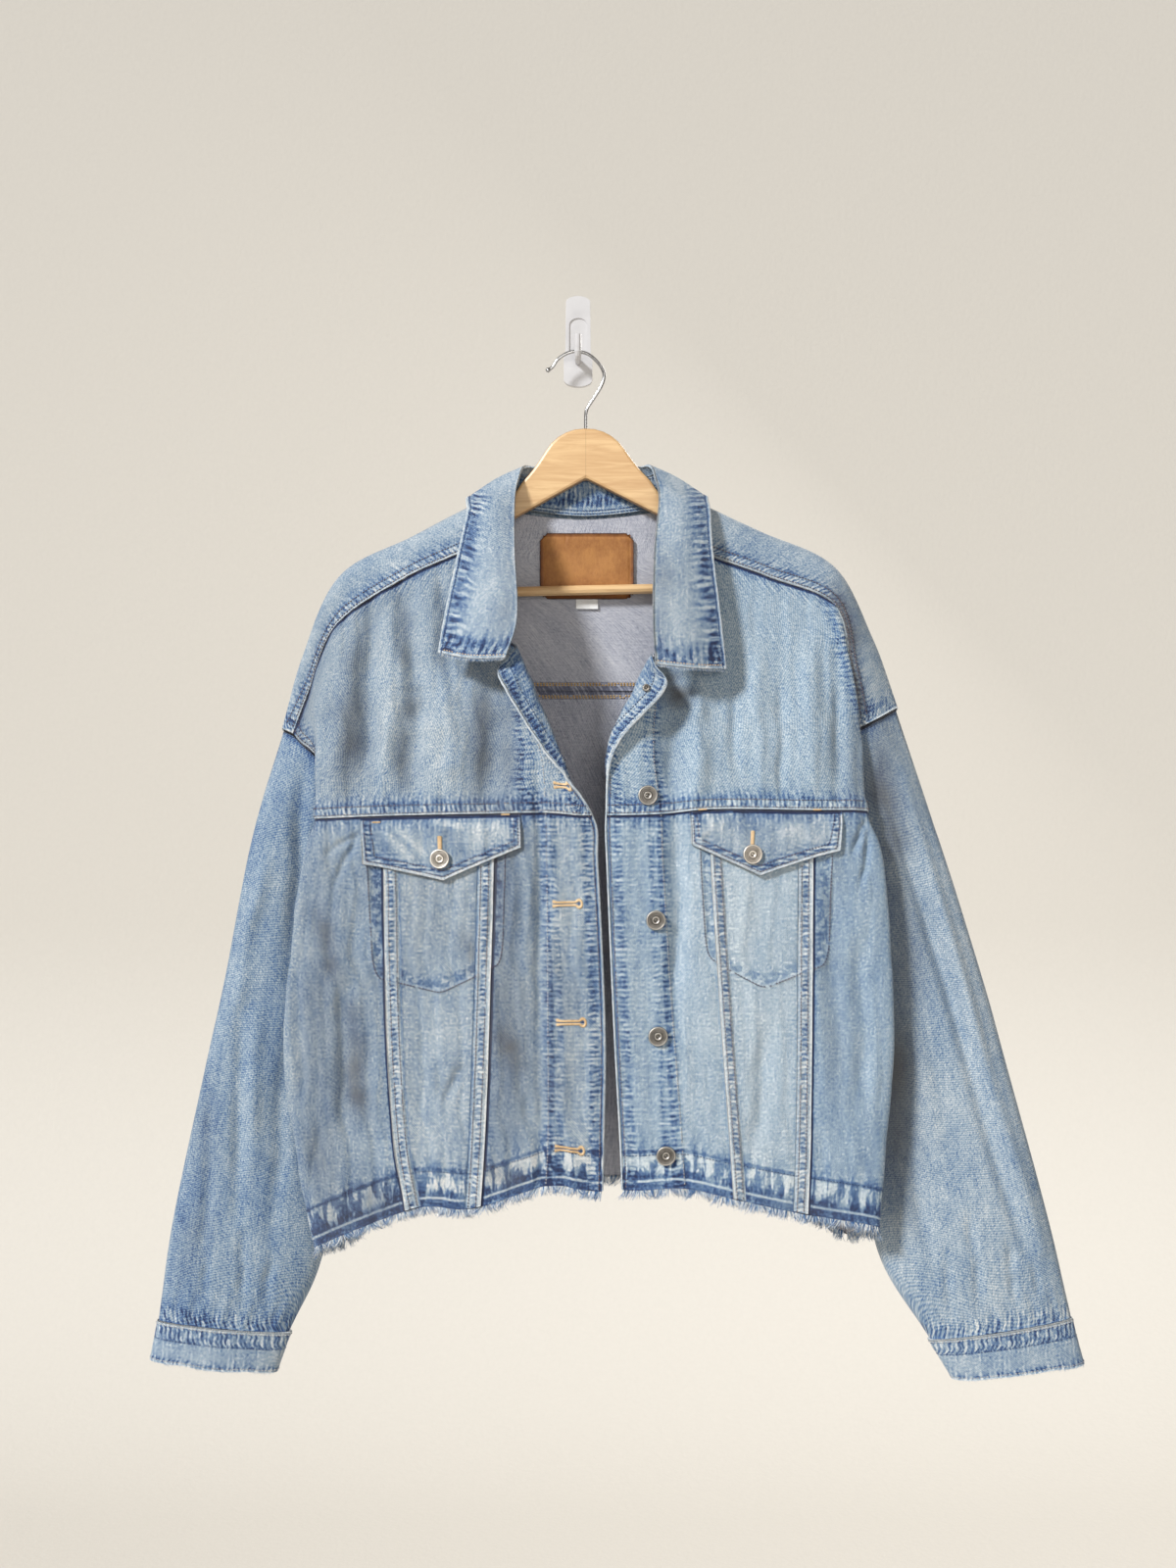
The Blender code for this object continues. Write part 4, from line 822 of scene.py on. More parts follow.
FRONT_Z = {
    "left": (
        (-306, -288, -268, -185, -230, -263, -359),
        (-321, -319, -320, -311, -318, -322, -367),
        (-374, -375, -375, -375, -377, -377, -384),
        (-431, -431, -429, -430, -432, -435, -436),
        (-478, -478, -478, -478, -478, -478, -478),
        (-615, -615, -615, -615, -616, -618, -623),
        (-708, -708, -706, -710, -713, -717, -724),
        (-755, -754, -751, -771, -773, -809, -812)),
    "right": (
        (-312, -296, -275, -189, -231, -243, -250),
        (-326, -321, -320, -311, -318, -308, -308),
        (-375, -374, -375, -375, -375, -372, -354),
        (-431, -431, -430, -426, -427, -428, -436),
        (-478, -478, -478, -478, -478, -478, -478),
        (-615, -615, -615, -615, -616, -618, -623),
        (-708, -708, -708, -708, -710, -712, -724),
        (-754, -754, -753, -764, -777, -792, -806)),
}
YOKE_ROW, UNDERARM_ROW, HEM_ROW = 3, 4, 7
PLACKET, INNER, OUTER, FOLD, SIDE = range(2, 7)
SHOULDER_STATIONS = {"left": (4, 2.5, 1.9, 0), "right": (10, 11.5, 11.9, 12)}
SHOULDER_GAP = 0.4


class Front(Drape):
    """A front, with its top edge on the back yoke's and, on the right, its side edge too."""

    def __init__(self, side):
        out = [list(row) for row in FRONT_OUT]
        if side == "right":
            for row, (fold, seam) in RIGHT_SIDE_OUT.items():
                out[row][FOLD], out[row][SIDE] = fold, seam
        table = np.stack([np.array(FRONT_X[side]), np.array(out), np.array(FRONT_Z[side])], -1)
        super().__init__(table, 1 if side == "left" else -1)
        self.side = side

    def upper(self, rows, columns):
        """Each column's points move onto the shoulder seam by (1 - row)² of the way."""
        rows, columns = np.broadcast_arrays(rows, columns)
        points = super().base(rows, columns)
        seam = np.interp(columns, (INNER, OUTER, FOLD, SIDE), SHOULDER_STATIONS[self.side])
        top = super().base(0, columns)
        below = unit(super().base(0.3, columns) - top)
        shift = BACK_YOKE_PLAIN.base(YOKE_TOP_ROW, seam) + below * SHOULDER_GAP * MM - top
        shift *= step(columns, INNER - 0.6, INNER + 0.05)[..., None]
        return points + shift * (np.clip(1 - rows, 0, 1) ** 2)[..., None]

    def base(self, rows, columns):
        rows, columns = np.broadcast_arrays(rows, columns)
        points = self.upper(rows, columns)
        if self.side == "right":
            first, last = SHOULDER_STATIONS["right"][-1], 14
            reach = np.clip(rows, 0, last - first)
            edge = BACK_YOKE_PLAIN.base(YOKE_TOP_ROW, first + reach)
            edge = edge - np.array((SHOULDER_GAP * MM, 0, 0))
            fade = np.clip((columns - OUTER) / (SIDE - OUTER), 0, 1) ** 2
            fade = fade * (1 - step(rows, last - first, last - first + 0.6))
            points = points + (edge - self.upper(reach, SIDE)) * fade[..., None]
        return points


FRONT_PLAIN = {side: Front(side) for side in ("left", "right")}


def sewn_lines(surface, rows, columns, along_rows, insets, kind, lift=0.35):
    """Rows of stitching at so many millimetres from a seam, laid on the cloth."""
    for inset in insets:
        moved = surface.aside(rows, columns, inset, along_rows)
        place = (moved, columns) if along_rows else (rows, moved)
        THREADS[kind].append(surface.at(*place, lift))


def yoke_and_back():
    """The yoke, the panel below it and their stitching; returns the panel."""
    at = crossed(back_yoke.graded(4, True, 0, 2.6, 4.2, 1.4, YOKE_TOP_ROW),
                 back_yoke.evenly(0, 14, 3, 2.6, False))
    points = back_yoke.at(*at)
    u, v, u_end, v_end = arc_lengths(points)
    # Small puckers under the shoulder seam as a tone, and the painted shadow round the right
    # shoulder.
    puckers = (0.07 * uneven(u / MM * 0.9, 4) * np.exp(-v_end / (14 * MM))
               + shade_and_wash_bands(BACK_PAINTED_SHADOW, points, back_yoke.normal(*at)))
    twill = denim("twill_back_yoke", tone=0.62, upright=LAPPED, level=LAPPED, raw=LAPPED,
                  lining=(2, LINING))
    sew_in("back_yoke", points, CLOTH, back_yoke.outward, twill, ["hanger_wood"],
           (np.minimum(u, u_end), v_end, v), (FAR, FAR, puckers))

    panel = BackPanel(BACK_PANEL, 1, [creases(BACK_CREASES, 1.0)])
    points = panel.at(*crossed(panel.evenly(0, BACK_HEM_ROW, 3, 3.0, True),
                               panel.evenly(0, 6, 1.5, 3.0, False)))
    u, v, u_end, v_end = arc_lengths(points)
    twill = denim("twill_back", tone=0.6, inside=0.5, upright=LAPPED, level=BELOW_SEAM,
                  raw=RAW_HEM, lining=(1, LINING))
    sew_in("back_panel", points, CLOTH, panel.outward, twill, ["back_yoke_cloth"],
           (np.minimum(u, u_end), v, v_end))

    across = np.linspace(0.12, 13.88, 700)
    sewn_lines(back_yoke, 0, across, True, (2, 8.5), "worn")
    inside = across[(across > 3.2) & (across < 10.9)]
    below = np.linspace(0.9, 5.1, 400)
    for inset in (4.8, 6.4):
        sewn_lines(back_yoke, 0, inside, True, (inset,), "gold", -CLOTH - STITCH_RISE)
        sewn_lines(panel, 0, below, True, (inset,), "gold", -CLOTH - STITCH_RISE)
    for chosen in (across < 4.1, across > 9.9):
        sewn_lines(back_yoke, YOKE_TOP_ROW, across[chosen], True, (-2.2, -8.6), "worn")
    sewn_lines(panel, BACK_HEM_ROW, np.linspace(0.05, 5.95, 500), True, (-34,), "navy")
    return panel


# The hem was let down: raw edge, then the pale line of its old fold, then the stitch line.
RAW_HEM = ((0, -0.34, 0.3), (4, -0.36, 0.3), (6.2, -0.34, 0.2), (7.2, 0.16, 0.0),
           (8.4, 0.14, 0.1), (9.6, -0.34, 0.4), (14, -0.14, 0.9), (17, 0.05, 0.95),
           (30, 0.08, 0.8), (32.4, -0.3, 0.3), (34, -0.26, 0.3), (35.6, -0.02, 0.45),
           (42, 0.0, 0.25), (50, 0, 0))
back_panel = yoke_and_back()


# ---------------------------------------------------------------------------------------
# The fronts: on each side a yoke, three panels below it, a facing that the lapel turns
# out, two felled seams from the flap to the hem, and a pointed flap of two layers over a
# bag sewn inside, whose outline stands out on the panel.

FACING, POCKETING, BAND, DOUBLE_CLOTH = 1.1, 0.9, 1.2, 2.4
FACING_GAP, YOKE_BAND = 0.35, 10.5
BAND_WIDTH = {("inner", "left"): 14.5, ("outer", "left"): 14.0,
              ("inner", "right"): 11.5, ("outer", "right"): 13.0}
PLACKET_RISE, YOKE_RISE = 0.6, 1.15
FINE, FINEST = 1.9, 1.2      # spacing of a front's grid, and beside its lapped edges
ROW_LENGTH = 70              # millimetres to a row, about
FLAP_TOP_ROW = 3.03
FLAP = {
    "left": ((4.27, 3.95), (3.46, 4.09), (2.48, 3.73)),
    "right": ((4.37, 3.80), (3.49, 4.05), (2.60, 3.70)),
}
FLAP_TOP = {"left": (4.32, 2.50), "right": (4.48, 2.58)}
BAG = {
    "left": ((4.18, 4.68), (3.51, 4.77), (2.74, 4.59)),
    "right": ((4.25, 4.60), (3.52, 4.74), (2.74, 4.55)),
}
BAG_TOP = {"left": (4.29, 2.72), "right": (4.32, 2.76)}
BAG_TOP_ROW, BAND_TOP_ROW, BAG_BEND_ROW = 3.08, 3.2, 3.3
FRONT_CREASES = (
    (-181, -250, -193, -412, 10, -2.1), (-204, -300, -212, -412, 8, 0.9),
    (-157, -232, -141, -320, 8, -1.5), (-141, -320, -145, -412, 10, -1.8),
    (-167, -262, -164, -400, 8, 1.0), (-119, -232, -113, -322, 6, -1.1),
    (-68, -300, -76, -418, 13, -2.4), (-118, -322, -110, -404, 13, 1.2),
    (-188, -323, -112, -323, 2.5, -0.25), (-96, -255, -99, -330, 8, -0.8),
    (78, -300, 84, -420, 12, -2.0), (103, -320, 104, -417, 8, 1.2),
    (136, -269, 137, -404, 5, -0.7), (178, -320, 178, -415, 5, -0.7),
    (229, -286, 230, -417, 6, -1.1), (157, -278, 158, -409, 8, 0.6),
    (204, -278, 205, -413, 8, 0.8), (-202, -582, -202, -709, 7, -1.2),
    (-228, -700, -226, -755, 5, -0.9), (-190, -447, -212, -493, 3, -0.8),
    (-190, -448, -219, -465, 3, -0.7), (-206, -493, -205, -582, 8, 0.8),
    (-101, -650, -114, -677, 4, -0.8), (-135, -607, -133, -713, 8, -0.7),
    (-32, -392, -32, -747, 5, -1.3), (85, -438, 87, -620, 8, -1.6),
    (161, -616, 157, -730, 8, -0.7), (220, -489, 225, -658, 8, -0.8),
    (251, -437, 239, -465, 3, -0.9), (254, -447, 247, -493, 3, -0.7),
    (-54, -582, -42, -700, 8, -0.6), (-244, -557, -243, -675, 6, -0.7),
    (246, -540, 249, -683, 7, -0.8),
)
# Painted shade and light, with some fading, among them the collar's cast shadow on the right yoke:
# in the same columns as the creases, with a change of tone at the end.
FRONT_PAINTED_LIGHT_AND_SHADE = (
    (-189, -250, -202, -412, 13, -0.20), (-205, -320, -200, -420, 28, -0.10),
    (-160, -236, -146, -320, 8, -0.18), (-146, -320, -152, -412, 9, -0.22),
    (-122, -236, -118, -322, 6, -0.14), (-174, -262, -170, -400, 8, 0.12),
    (-130, -300, -120, -404, 9, 0.12), (-80, -310, -87, -418, 10, -0.20),
    (-196, -595, -188, -700, 10, -0.30), (-176, -440, -186, -520, 9, -0.10),
    (-229, -510, -206, -575, 9, -0.18), (-98, -530, -88, -572, 7, -0.16),
    (-71, -612, -44, -650, 10, -0.16), (-62, -470, -60, -740, 20, -0.08),
    (-60, -438, -60, -472, 14, -0.20), (-58, -300, -58, -415, 10, -0.14),
    (-95, -735, -45, -745, 9, -0.18),
    (-232, -700, -226, -760, 9, -0.08), (-103, -640, -116, -680, 8, -0.08),
    (80, -300, 86, -420, 12, -0.08),
    (-74, -300, -66, -740, 23, -0.14), (-220, -450, -224, -800, 24, -0.16),
    (-160, -500, -158, -640, 26, -0.09), (-126, -460, -122, -560, 22, -0.08),
    (-16, -540, -14, -700, 16, -0.10), (43, -430, 50, -740, 20, -0.05),
    (104, -430, 118, -720, 26, 0.15), (150, -440, 150, -700, 16, 0.06),
    (226, -420, 224, -700, 16, -0.07), (255, -250, 252, -450, 20, -0.15),
    (82, -306, 90, -342, 13, -0.34), (70, -775, 250, -790, 22, -0.10),
    (-230, -790, -140, -765, 24, -0.12),
)
# Beside a placket's edge: white fold, a column of dark dabs, the facing's stitch line.
PLACKET_EDGE = ((0, 0.2, 0.0), (1.6, -0.36, 0.0), (2.4, -0.3, 0.1), (3.2, 0.0, 0.4),
                (8, -0.03, 0.85), (11.5, -0.03, 0.85), (14, 0.02, 0.2), (34, 0.02, 0.1),
                (37, -0.03, 0.7), (42.5, 0.02, 0.4), (45, -0.16, 0.9), (51, -0.04, 0.6),
                (57, 0, 0))
BAG_EDGE = ((0, 0.04, 0.0), (1.5, 0.0, 0.1), (2.6, -0.04, 0.5), (9, -0.02, 0.45), (13, 0, 0))
FLAP_EDGE = ((0, 0.22, 0.0), (2.0, 0.14, 0.0), (2.8, -0.2, 0.0), (3.6, -0.02, 0.95),
             (7.4, -0.02, 0.95), (8.2, -0.2, 0.1), (9.2, -0.02, 0.3), (16, 0, 0))
FACING_EDGE = ((0, 0.3, 0.2), (1.5, 0.16, 0.5), (3, -0.12, 0.9), (8, -0.06, 0.9), (11, 0.1, 0.5),
               (14, -0.04, 0.5), (22, 0, 0.3))
OPEN_BAND = ((0, 0.26, 0.0), (1.6, 0.2, 0.0), (2.6, 0.02, 0.1), (3.8, 0.04, 0.3), (4.6, 0.02, 0.95),
             (8.4, 0.02, 0.95), (9.4, 0.04, 0.2), (12.6, 0.02, 0.1), (14.2, -0.24, 0.0))
FLAP_FADES = (
    (-93, -440, -55, -451, 12, 0.26), (-130, -436, -96, -442, 3.5, 0.5),
    (-116, -445, -96, -468, 9, -0.3), (-141, -431, -116, -444, 8, -0.2),
    (-166, -445, -141, -472, 4, 0.42), (-156, -440, -131, -467, 3.5, 0.36),
    (-161, -443, -137, -470, 2.5, -0.3), (-180, -446, -163, -463, 8, -0.34),
    (108, -428, 117, -439, 3, 0.5), (117, -439, 106, -450, 3, 0.45),
    (126, -425, 135, -431, 4, 0.45), (124, -435, 124, -446, 3, 0.35),
    (137, -428, 155, -446, 9, -0.26), (177, -431, 211, -438, 5, -0.28),
    (172, -443, 202, -449, 7, 0.34), (127, -446, 140, -456, 6, 0.24),
)


def outline_distance(points, outline):
    """Distance in metres, seen from the front, from each point to a chain of segments."""
    flat = points[..., [0, 2]]
    nearest = np.full(flat.shape[:-1], 1.0)
    for start, end in zip(outline[:-1], outline[1:]):
        way = end - start
        share = np.clip(((flat - start) @ way) / (way @ way), 0, 1)
        nearest = np.minimum(nearest, np.linalg.norm(flat - start - share[..., None] * way,
                                                     axis=-1))
    return nearest


def bag_outline(side):
    """The bag's stitched outline on the panel, down, along and up, its corners rounded by a
    running mean of nine places."""
    share = np.linspace(0, 1, 41)[1:, None]
    first, last = BAG_TOP[side]
    stops = np.array([(first, BAG_BEND_ROW), *BAG[side], (last, BAG_BEND_ROW)])
    path = [stops[:1]] * 5
    path += [start + (end - start) * share for start, end in zip(stops[:-1], stops[1:])]
    path = np.vstack([*path, *[stops[-1:]] * 4])
    columns, rows = (np.convolve(path[:, k], np.full(9, 1 / 9), "valid") for k in (0, 1))
    return rows, columns


def within_bag(side, rows, columns):
    """1 where the bag lies behind the panel and 0 beyond its outline."""
    (c0, r0), (c1, r1), (c2, r2) = BAG[side]
    down = np.clip((rows - BAG_BEND_ROW) / (r0 - BAG_BEND_ROW), 0, 1)
    outer = BAG_TOP[side][0] + (c0 - BAG_TOP[side][0]) * down
    lowest = np.interp(columns, (c2, c1, c0), (r2, r1, r0))
    return ((columns < outer) & (columns > c2) & (rows < lowest)) * 1.0


FOLD_DEPTH = 4.6
EDGE_DEPTH, EDGE_RADIUS = 1.3, 1.2
LUMP_HEIGHT = {"left": 1.4, "right": 0.7, "": 0.0}


def front_folds(net, side):
    """Folds that every piece of a front shares: creases, placket and seam puckers."""
    def placket(points, normals, rows, columns):
        """The band beside the front edge, a step higher up to its row of stitching."""
        return PLACKET_RISE * MM * (1 - step(columns, PLACKET - 0.04, PLACKET + 0.04))

    def gathered(points, normals, rows, columns):
        """Small puckers square to the yoke seam and to the upright seams, 3 to 12 mm apart."""
        away = gap(points, net.base(YOKE_ROW, columns))
        height = 0.42 * uneven(points[..., 0] / MM * 0.62, 3.1) * np.exp(-away / 9)
        below = step(rows, YOKE_ROW, YOKE_ROW + 0.1)
        for column, seed, size, rate, reach in (
                (INNER, 1.7, 0.3 * below, 0.55, 9), (OUTER, 2.9, 0.3 * below, 0.55, 9),
                (SIDE, 0.6, 0.3, 0.55, 9), (0, 4.4, 0.2, 0.7, 5), (PLACKET, 5.2, 0.2, 0.7, 5)):
            away = gap(points, net.base(rows, column))
            wave = uneven(points[..., 2] / MM * rate, seed)
            height = height + size * wave * np.exp(-away / reach)
        return height * MM

    def lumpy(points, normals, rows, columns):
        """Soft hollows 15 to 40 mm across, longer than wide, that washing leaves."""
        x, z = points[..., 0] / MM, points[..., 2] / MM
        lean = 5 * uneven(z * 0.05, 0.7)
        return LUMP_HEIGHT[side] * MM * (uneven((x + lean) * 0.16, 1.0) * uneven(z * 0.045, 3.0)
                                         + 0.6 * uneven((x - lean) * 0.31 + z * 0.02, 5.0))

    pressed = creases(FRONT_CREASES)
    return (lambda *at: FOLD_DEPTH * pressed(*at)), placket, gathered, lumpy


def pucker_shade_of(points, net, rows, columns):
    """The same puckers as a tone, pale on their ridges and dark in their hollows, partly wear and
    partly painted shade, with the front's painted shade and light added.
    """
    height = front_folds(net, "")[2](points, None, rows, columns) / MM
    return np.clip(height * 0.2, -0.14, 0.14) + shade_and_wash_bands(FRONT_PAINTED_LIGHT_AND_SHADE, points)


def front_pieces(side, net, surface):
    """Yoke and panels of one side: their grids, seam distances, materials and sheets."""
    def rise(points, normals, rows, columns):
        """The yoke's lower edge lies over the panels: raised over its last 10.5 mm."""
        away = gap(points, net.base(YOKE_ROW, columns))
        lumps = 1 + 0.18 * uneven(points[..., 0] / MM * 1.2, 6.0)
        return YOKE_RISE * MM * lumps * (1 - step(away, YOKE_BAND - 1, YOKE_BAND + 1))

    def armhole_rise(points, normals, rows, columns):
        """The lapped armhole seam: raised by 0.8 mm over 8.5 mm down to the underarm."""
        away = gap(points, net.base(rows, SIDE))
        lumps = 1 + 0.2 * uneven(points[..., 2] / MM * 1.1, 1.0)
        upper = 1 - step(rows, UNDERARM_ROW - 0.3, UNDERARM_ROW + 0.2)
        return 0.8 * MM * lumps * upper * (1 - step(away, 7.5, 9.5))

    def pocket_ridge(points, normals, rows, columns):
        """The bag's outline as a ridge: height × exp(-(distance / 2 mm)²)."""
        away = outline_distance(points, pocket) / MM
        below = step(rows, BAG_BEND_ROW, BAG_BEND_ROW + 0.2)
        wobble = 1 + 0.3 * uneven((points[..., 0] + points[..., 2]) / MM * 0.5, 2.2)
        return 0.6 * MM * wobble * below * np.exp(-(away / 2.0) ** 2)

    pocket = net.base(*bag_outline(side))[:, [0, 2]]
    yoke = surface.pressed(rise, armhole_rise)
    panels = surface.pressed(pocket_ridge, armhole_rise)
    at = crossed(net.graded(OUTER, True, 0, FINE, 2.8, FINEST, YOKE_ROW),
                 net.graded(2, False, 0, 1.5, 2, FINE, 5.6, FINEST, SIDE))
    points = yoke.at(*at)
    u, v, u_end, v_end = arc_lengths(points)
    sew_in(f"front_yoke_{side}", points, CLOTH, net.outward, finishes[f"yoke_{side}"],
           ["back_yoke_cloth"], (u_end, v_end, v), (u, FAR, pucker_shade_of(points, net, *at)),
           plumb=True)

    inner, outer = (BAND_WIDTH[band, side] / 2 * MM for band in ("inner", "outer"))
    for name, first, last in (("centre", 0, INNER), ("middle", INNER, OUTER),
                              ("side", OUTER, SIDE)):
        if name == "side":
            columns = net.graded(5, False, first, FINE, 5.7, FINEST, last)
        else:
            columns = net.evenly(first, last, 5, FINE, False)
        at = crossed(net.evenly(YOKE_ROW, HEM_ROW, first + 0.5, FINE, True), columns)
        points = panels.at(*at)
        u, v, u_end, v_end = arc_lengths(points)
        beside = {"centre": u_end - inner, "side": u - outer,
                  "middle": np.minimum(u - inner, u_end - outer)}[name]
        away = outline_distance(points, pocket) + 0.5 * (1 - within_bag(side, *at))
        sew_in(f"front_{name}_{side}", points, CLOTH, net.outward, finishes[f"{name}_{side}"],
               [f"front_yoke_{side}_cloth"], (beside, v, v_end),
               (u, away, pucker_shade_of(points, net, *at)), plumb=True)
    return yoke, panels


def facing(side, net, surface):
    """The strip inside the front edge, which the lapel shows; it meets the edge at col 0."""
    rows, columns = crossed(net.evenly(0, HEM_ROW, 1, 2.2, True),
                            net.evenly(0, PLACKET, 2, 1.5, False))
    points = surface.at(rows, columns, -CLOTH - FACING_GAP)
    u, v, u_end, v_end = arc_lengths(points)
    marks = 0.05 * uneven(v / MM * 0.5, 2) * np.exp(-u / (9 * MM))
    sew_in(f"front_facing_{side}", points, FACING, net.outward, finishes[f"facing_{side}"],
           [f"front_yoke_{side}_cloth"], (u, v, v_end), (u, FAR, marks), slot="denim_inner")


def seam_bands(side, net, panels):
    """Each lapped seam: a strip that steps down to the panel away from the pocket.

    Its height across is a step at the open edge, a flat top and a slope on the other side.
    """
    for band, column, way, below in (("inner", INNER, -1, "centre"), ("outer", OUTER, 1, "side")):
        half = BAND_WIDTH[band, side] / 2
        shares = np.linspace(-1, 1, 13)
        heights = np.interp(shares * way, (-1, -0.8, -0.5, 0, 0.5, 0.85, 1),
                            (0.05, 0.35, 0.95, 1.25, 1.3, 1.35, 1.25))
        rows, across = crossed(net.evenly(BAND_TOP_ROW, HEM_ROW - 0.015, column, 1.7, True),
                               shares * half)
        lumps = 0.18 * uneven(rows * ROW_LENGTH * 1.35, column) * np.cos(across / half * 1.5)
        points = panels.at(rows, net.aside(rows, column, across, False), heights[None, :] + lumps)
        u, v, u_end, v_end = arc_lengths(points)
        # The band's lumps also as a tone: lighter where raised, darker and greyer where sunk, the
        # grey as painted shade.
        sew_in(f"seam_band_{band}_{side}", points, BAND, net.outward, finishes[f"band_{side}"],
               [f"front_{below}_{side}_cloth"], (u_end if way > 0 else u, FAR, v_end),
               (FAR, FAR, lumps * 0.3))
        insets = (0.42 * half * way, -0.52 * half * way)
        sewn_lines(panels, np.linspace(BAND_TOP_ROW, HEM_ROW, 500), column, False, insets,
                   "worn", 1.6)


def flap_grid(outline, top, top_row, across, down):
    """Rows and columns of a piece with a pointed lower edge, hung from one row."""
    lower = np.linspace(outline[0][0], outline[2][0], across)
    stops = [c for c, _ in outline][::-1]
    lowest = np.interp(lower, stops, [row for _, row in outline][::-1])
    share = np.linspace(0, 1, down)[:, None]
    rows = top_row + share * (lowest - top_row)
    columns = np.linspace(*top, across) * (1 - share) + lower * share
    return rows[:, ::-1], columns[:, ::-1]


def flap_lift(net, rows, columns):
    """Height of the flap's face: level with the yoke's edge, then over the seams below."""
    drop = gap(net.base(rows, columns), net.base(FLAP_TOP_ROW, columns))
    return 1.1 + 3.1 * step(drop, 0, 12) + 0.8 * step(drop, 25, 60)


def pockets(side, net, panels):
    """The flap of two layers and the bag inside."""
    rows, columns = flap_grid(FLAP[side], FLAP_TOP[side], FLAP_TOP_ROW, 85, 40)
    u, v, u_end, v_end = arc_lengths(net.base(rows, columns))
    to_edge = np.minimum(np.minimum(u, u_end), v_end * 0.93)
    ridge = 0.4 * np.exp(-((to_edge / MM - 5) / 2.4) ** 2) - 0.35 * np.exp(
        -((to_edge / MM - 9.5) / 2) ** 2)
    quilt = 0.22 * uneven(u / MM * 0.75, 1.3) * np.exp(-to_edge / (10 * MM))
    height = flap_lift(net, rows, columns) + ridge + quilt
    # Pale and dark patches of wear, which also raise and sink the flap, and the quilting as a tone;
    # the finish greys their dark parts a little as painted shade.
    worn = shade_and_wash_bands(FLAP_FADES, panels.at(rows, columns, height))
    points = panels.at(rows, columns, height + 1.6 * worn)
    sew_in(f"pocket_flap_{side}", points, DOUBLE_CLOTH, net.outward, finishes[f"flap_{side}"],
           [f"front_yoke_{side}_cloth"], (to_edge, arc_lengths(points)[1], FAR),
           (FAR, FAR, quilt * 0.3 + worn), plumb=True)
    for inset in (2.8, 8.2):
        ring = flap_ring(net, side, inset)
        THREADS["plum"].append(panels.at(*ring, flap_lift(net, *ring) + 0.4))

    rows, columns = flap_grid(BAG[side], BAG_TOP[side], BAG_TOP_ROW, 40, 40)
    sew_in(f"pocket_bag_{side}", panels.at(rows, columns, -CLOTH - 0.5), POCKETING, net.outward,
           finishes["pocketing"], [f"front_middle_{side}_cloth"], slot="denim_inner")
    THREADS["plum"].append(panels.at(*bag_outline(side), 0.5))


def flap_ring(net, side, inset):
    """A line inside the flap's sides and point by inset millimetres."""
    (c0, r0), (c1, r1), (c2, r2) = FLAP[side]
    corners = net.base(np.array([r0, r1, r2]), np.array([c0, c1, c2]))
    over = inset * abs(c2 - c0) * MM / np.linalg.norm(corners[2] - corners[0])
    low = np.linspace(c0 - over, c2 + over, 120)
    edge = np.interp(low, [c2, c1, c0], [r2, r1, r0])
    low_rows = net.aside(edge, low, -inset * 1.05, True)
    up = np.linspace(0, 1, 40)
    top = FLAP_TOP_ROW + 0.05
    near, away = FLAP_TOP[side][0] - over, FLAP_TOP[side][1] + over
    rows = np.concatenate([top + (low_rows[0] - top) * up, low_rows[1:-1],
                           low_rows[-1] + (top - low_rows[-1]) * up])
    columns = np.concatenate([near + (low[0] - near) * up, low[1:-1],
                              low[-1] + (away - low[-1]) * up])
    return rows, columns


def edge_cord(side, surface):
    """The folded front edge, worn white: a tube round the edges of front and facing."""
    rows = surface.evenly(0.0, HEM_ROW - 0.01, 0, 2.0, True)
    radii = EDGE_RADIUS * MM * (1 + 0.12 * uneven(rows * ROW_LENGTH * 1.1, 2.0))
    cord = tube(f"front_edge_{side}", surface.at(rows, 0, -EDGE_DEPTH), radii, sides=12)
    declare(cord, finishes["edge"])


def front_stitching(side, yoke, panels):
    """Double rows on the yoke's edge and armhole, single rows on the placket and hem."""
    sewn_lines(yoke, YOKE_ROW, np.linspace(0.02, 5.98, 900), True, (-1.9, -8.4), "worn")
    rows = np.linspace(0.1 if side == "left" else 2.25, YOKE_ROW - 0.02, 500)
    sewn_lines(yoke, rows, SIDE, False, (-2.4, -7.6), "worn")
    rows = np.linspace(YOKE_ROW + 0.02, UNDERARM_ROW, 160)
    sewn_lines(panels, rows, SIDE, False, (-2.4, -7.6), "navy")
    for first, last, surface in ((0.25, YOKE_ROW - 0.23, yoke), (YOKE_ROW, HEM_ROW, panels)):
        rows = np.linspace(first, last, 700)
        sewn_lines(surface, rows, PLACKET, False, (-0.6,), "pale")
        sewn_lines(surface, rows, 0, False, (3.2,), "worn")
    sewn_lines(panels, HEM_ROW, np.linspace(0.02, 5.98, 700), True, (-33.5,), "navy")
    sewn_lines(yoke, np.linspace(0.4, YOKE_ROW, 400), 0, False, (3.2, 10), "navy",
               -CLOTH - FACING_GAP - FACING - STITCH_RISE)


def worn_edge(name):
    """Twill rubbed almost white along a fold, with a little blue left in its hollows."""
    edge = Finish(name, roughness=0.9)
    place = edge.place()
    grain = edge.noise(place, 420, 3, 0.7)
    patches = edge.noise(place, (60, 60, 90), 2)
    edge.drive(base_color=edge.ramp(grain * 0.7 + patches * 0.45, [
        (0.36, 0.12, 0.2, 0.33), (0.5, 0.38, 0.45, 0.52), (0.68, 0.62, 0.65, 0.67)]))
    edge.bump(grain, 0.0008, 0.6)
    return edge.material


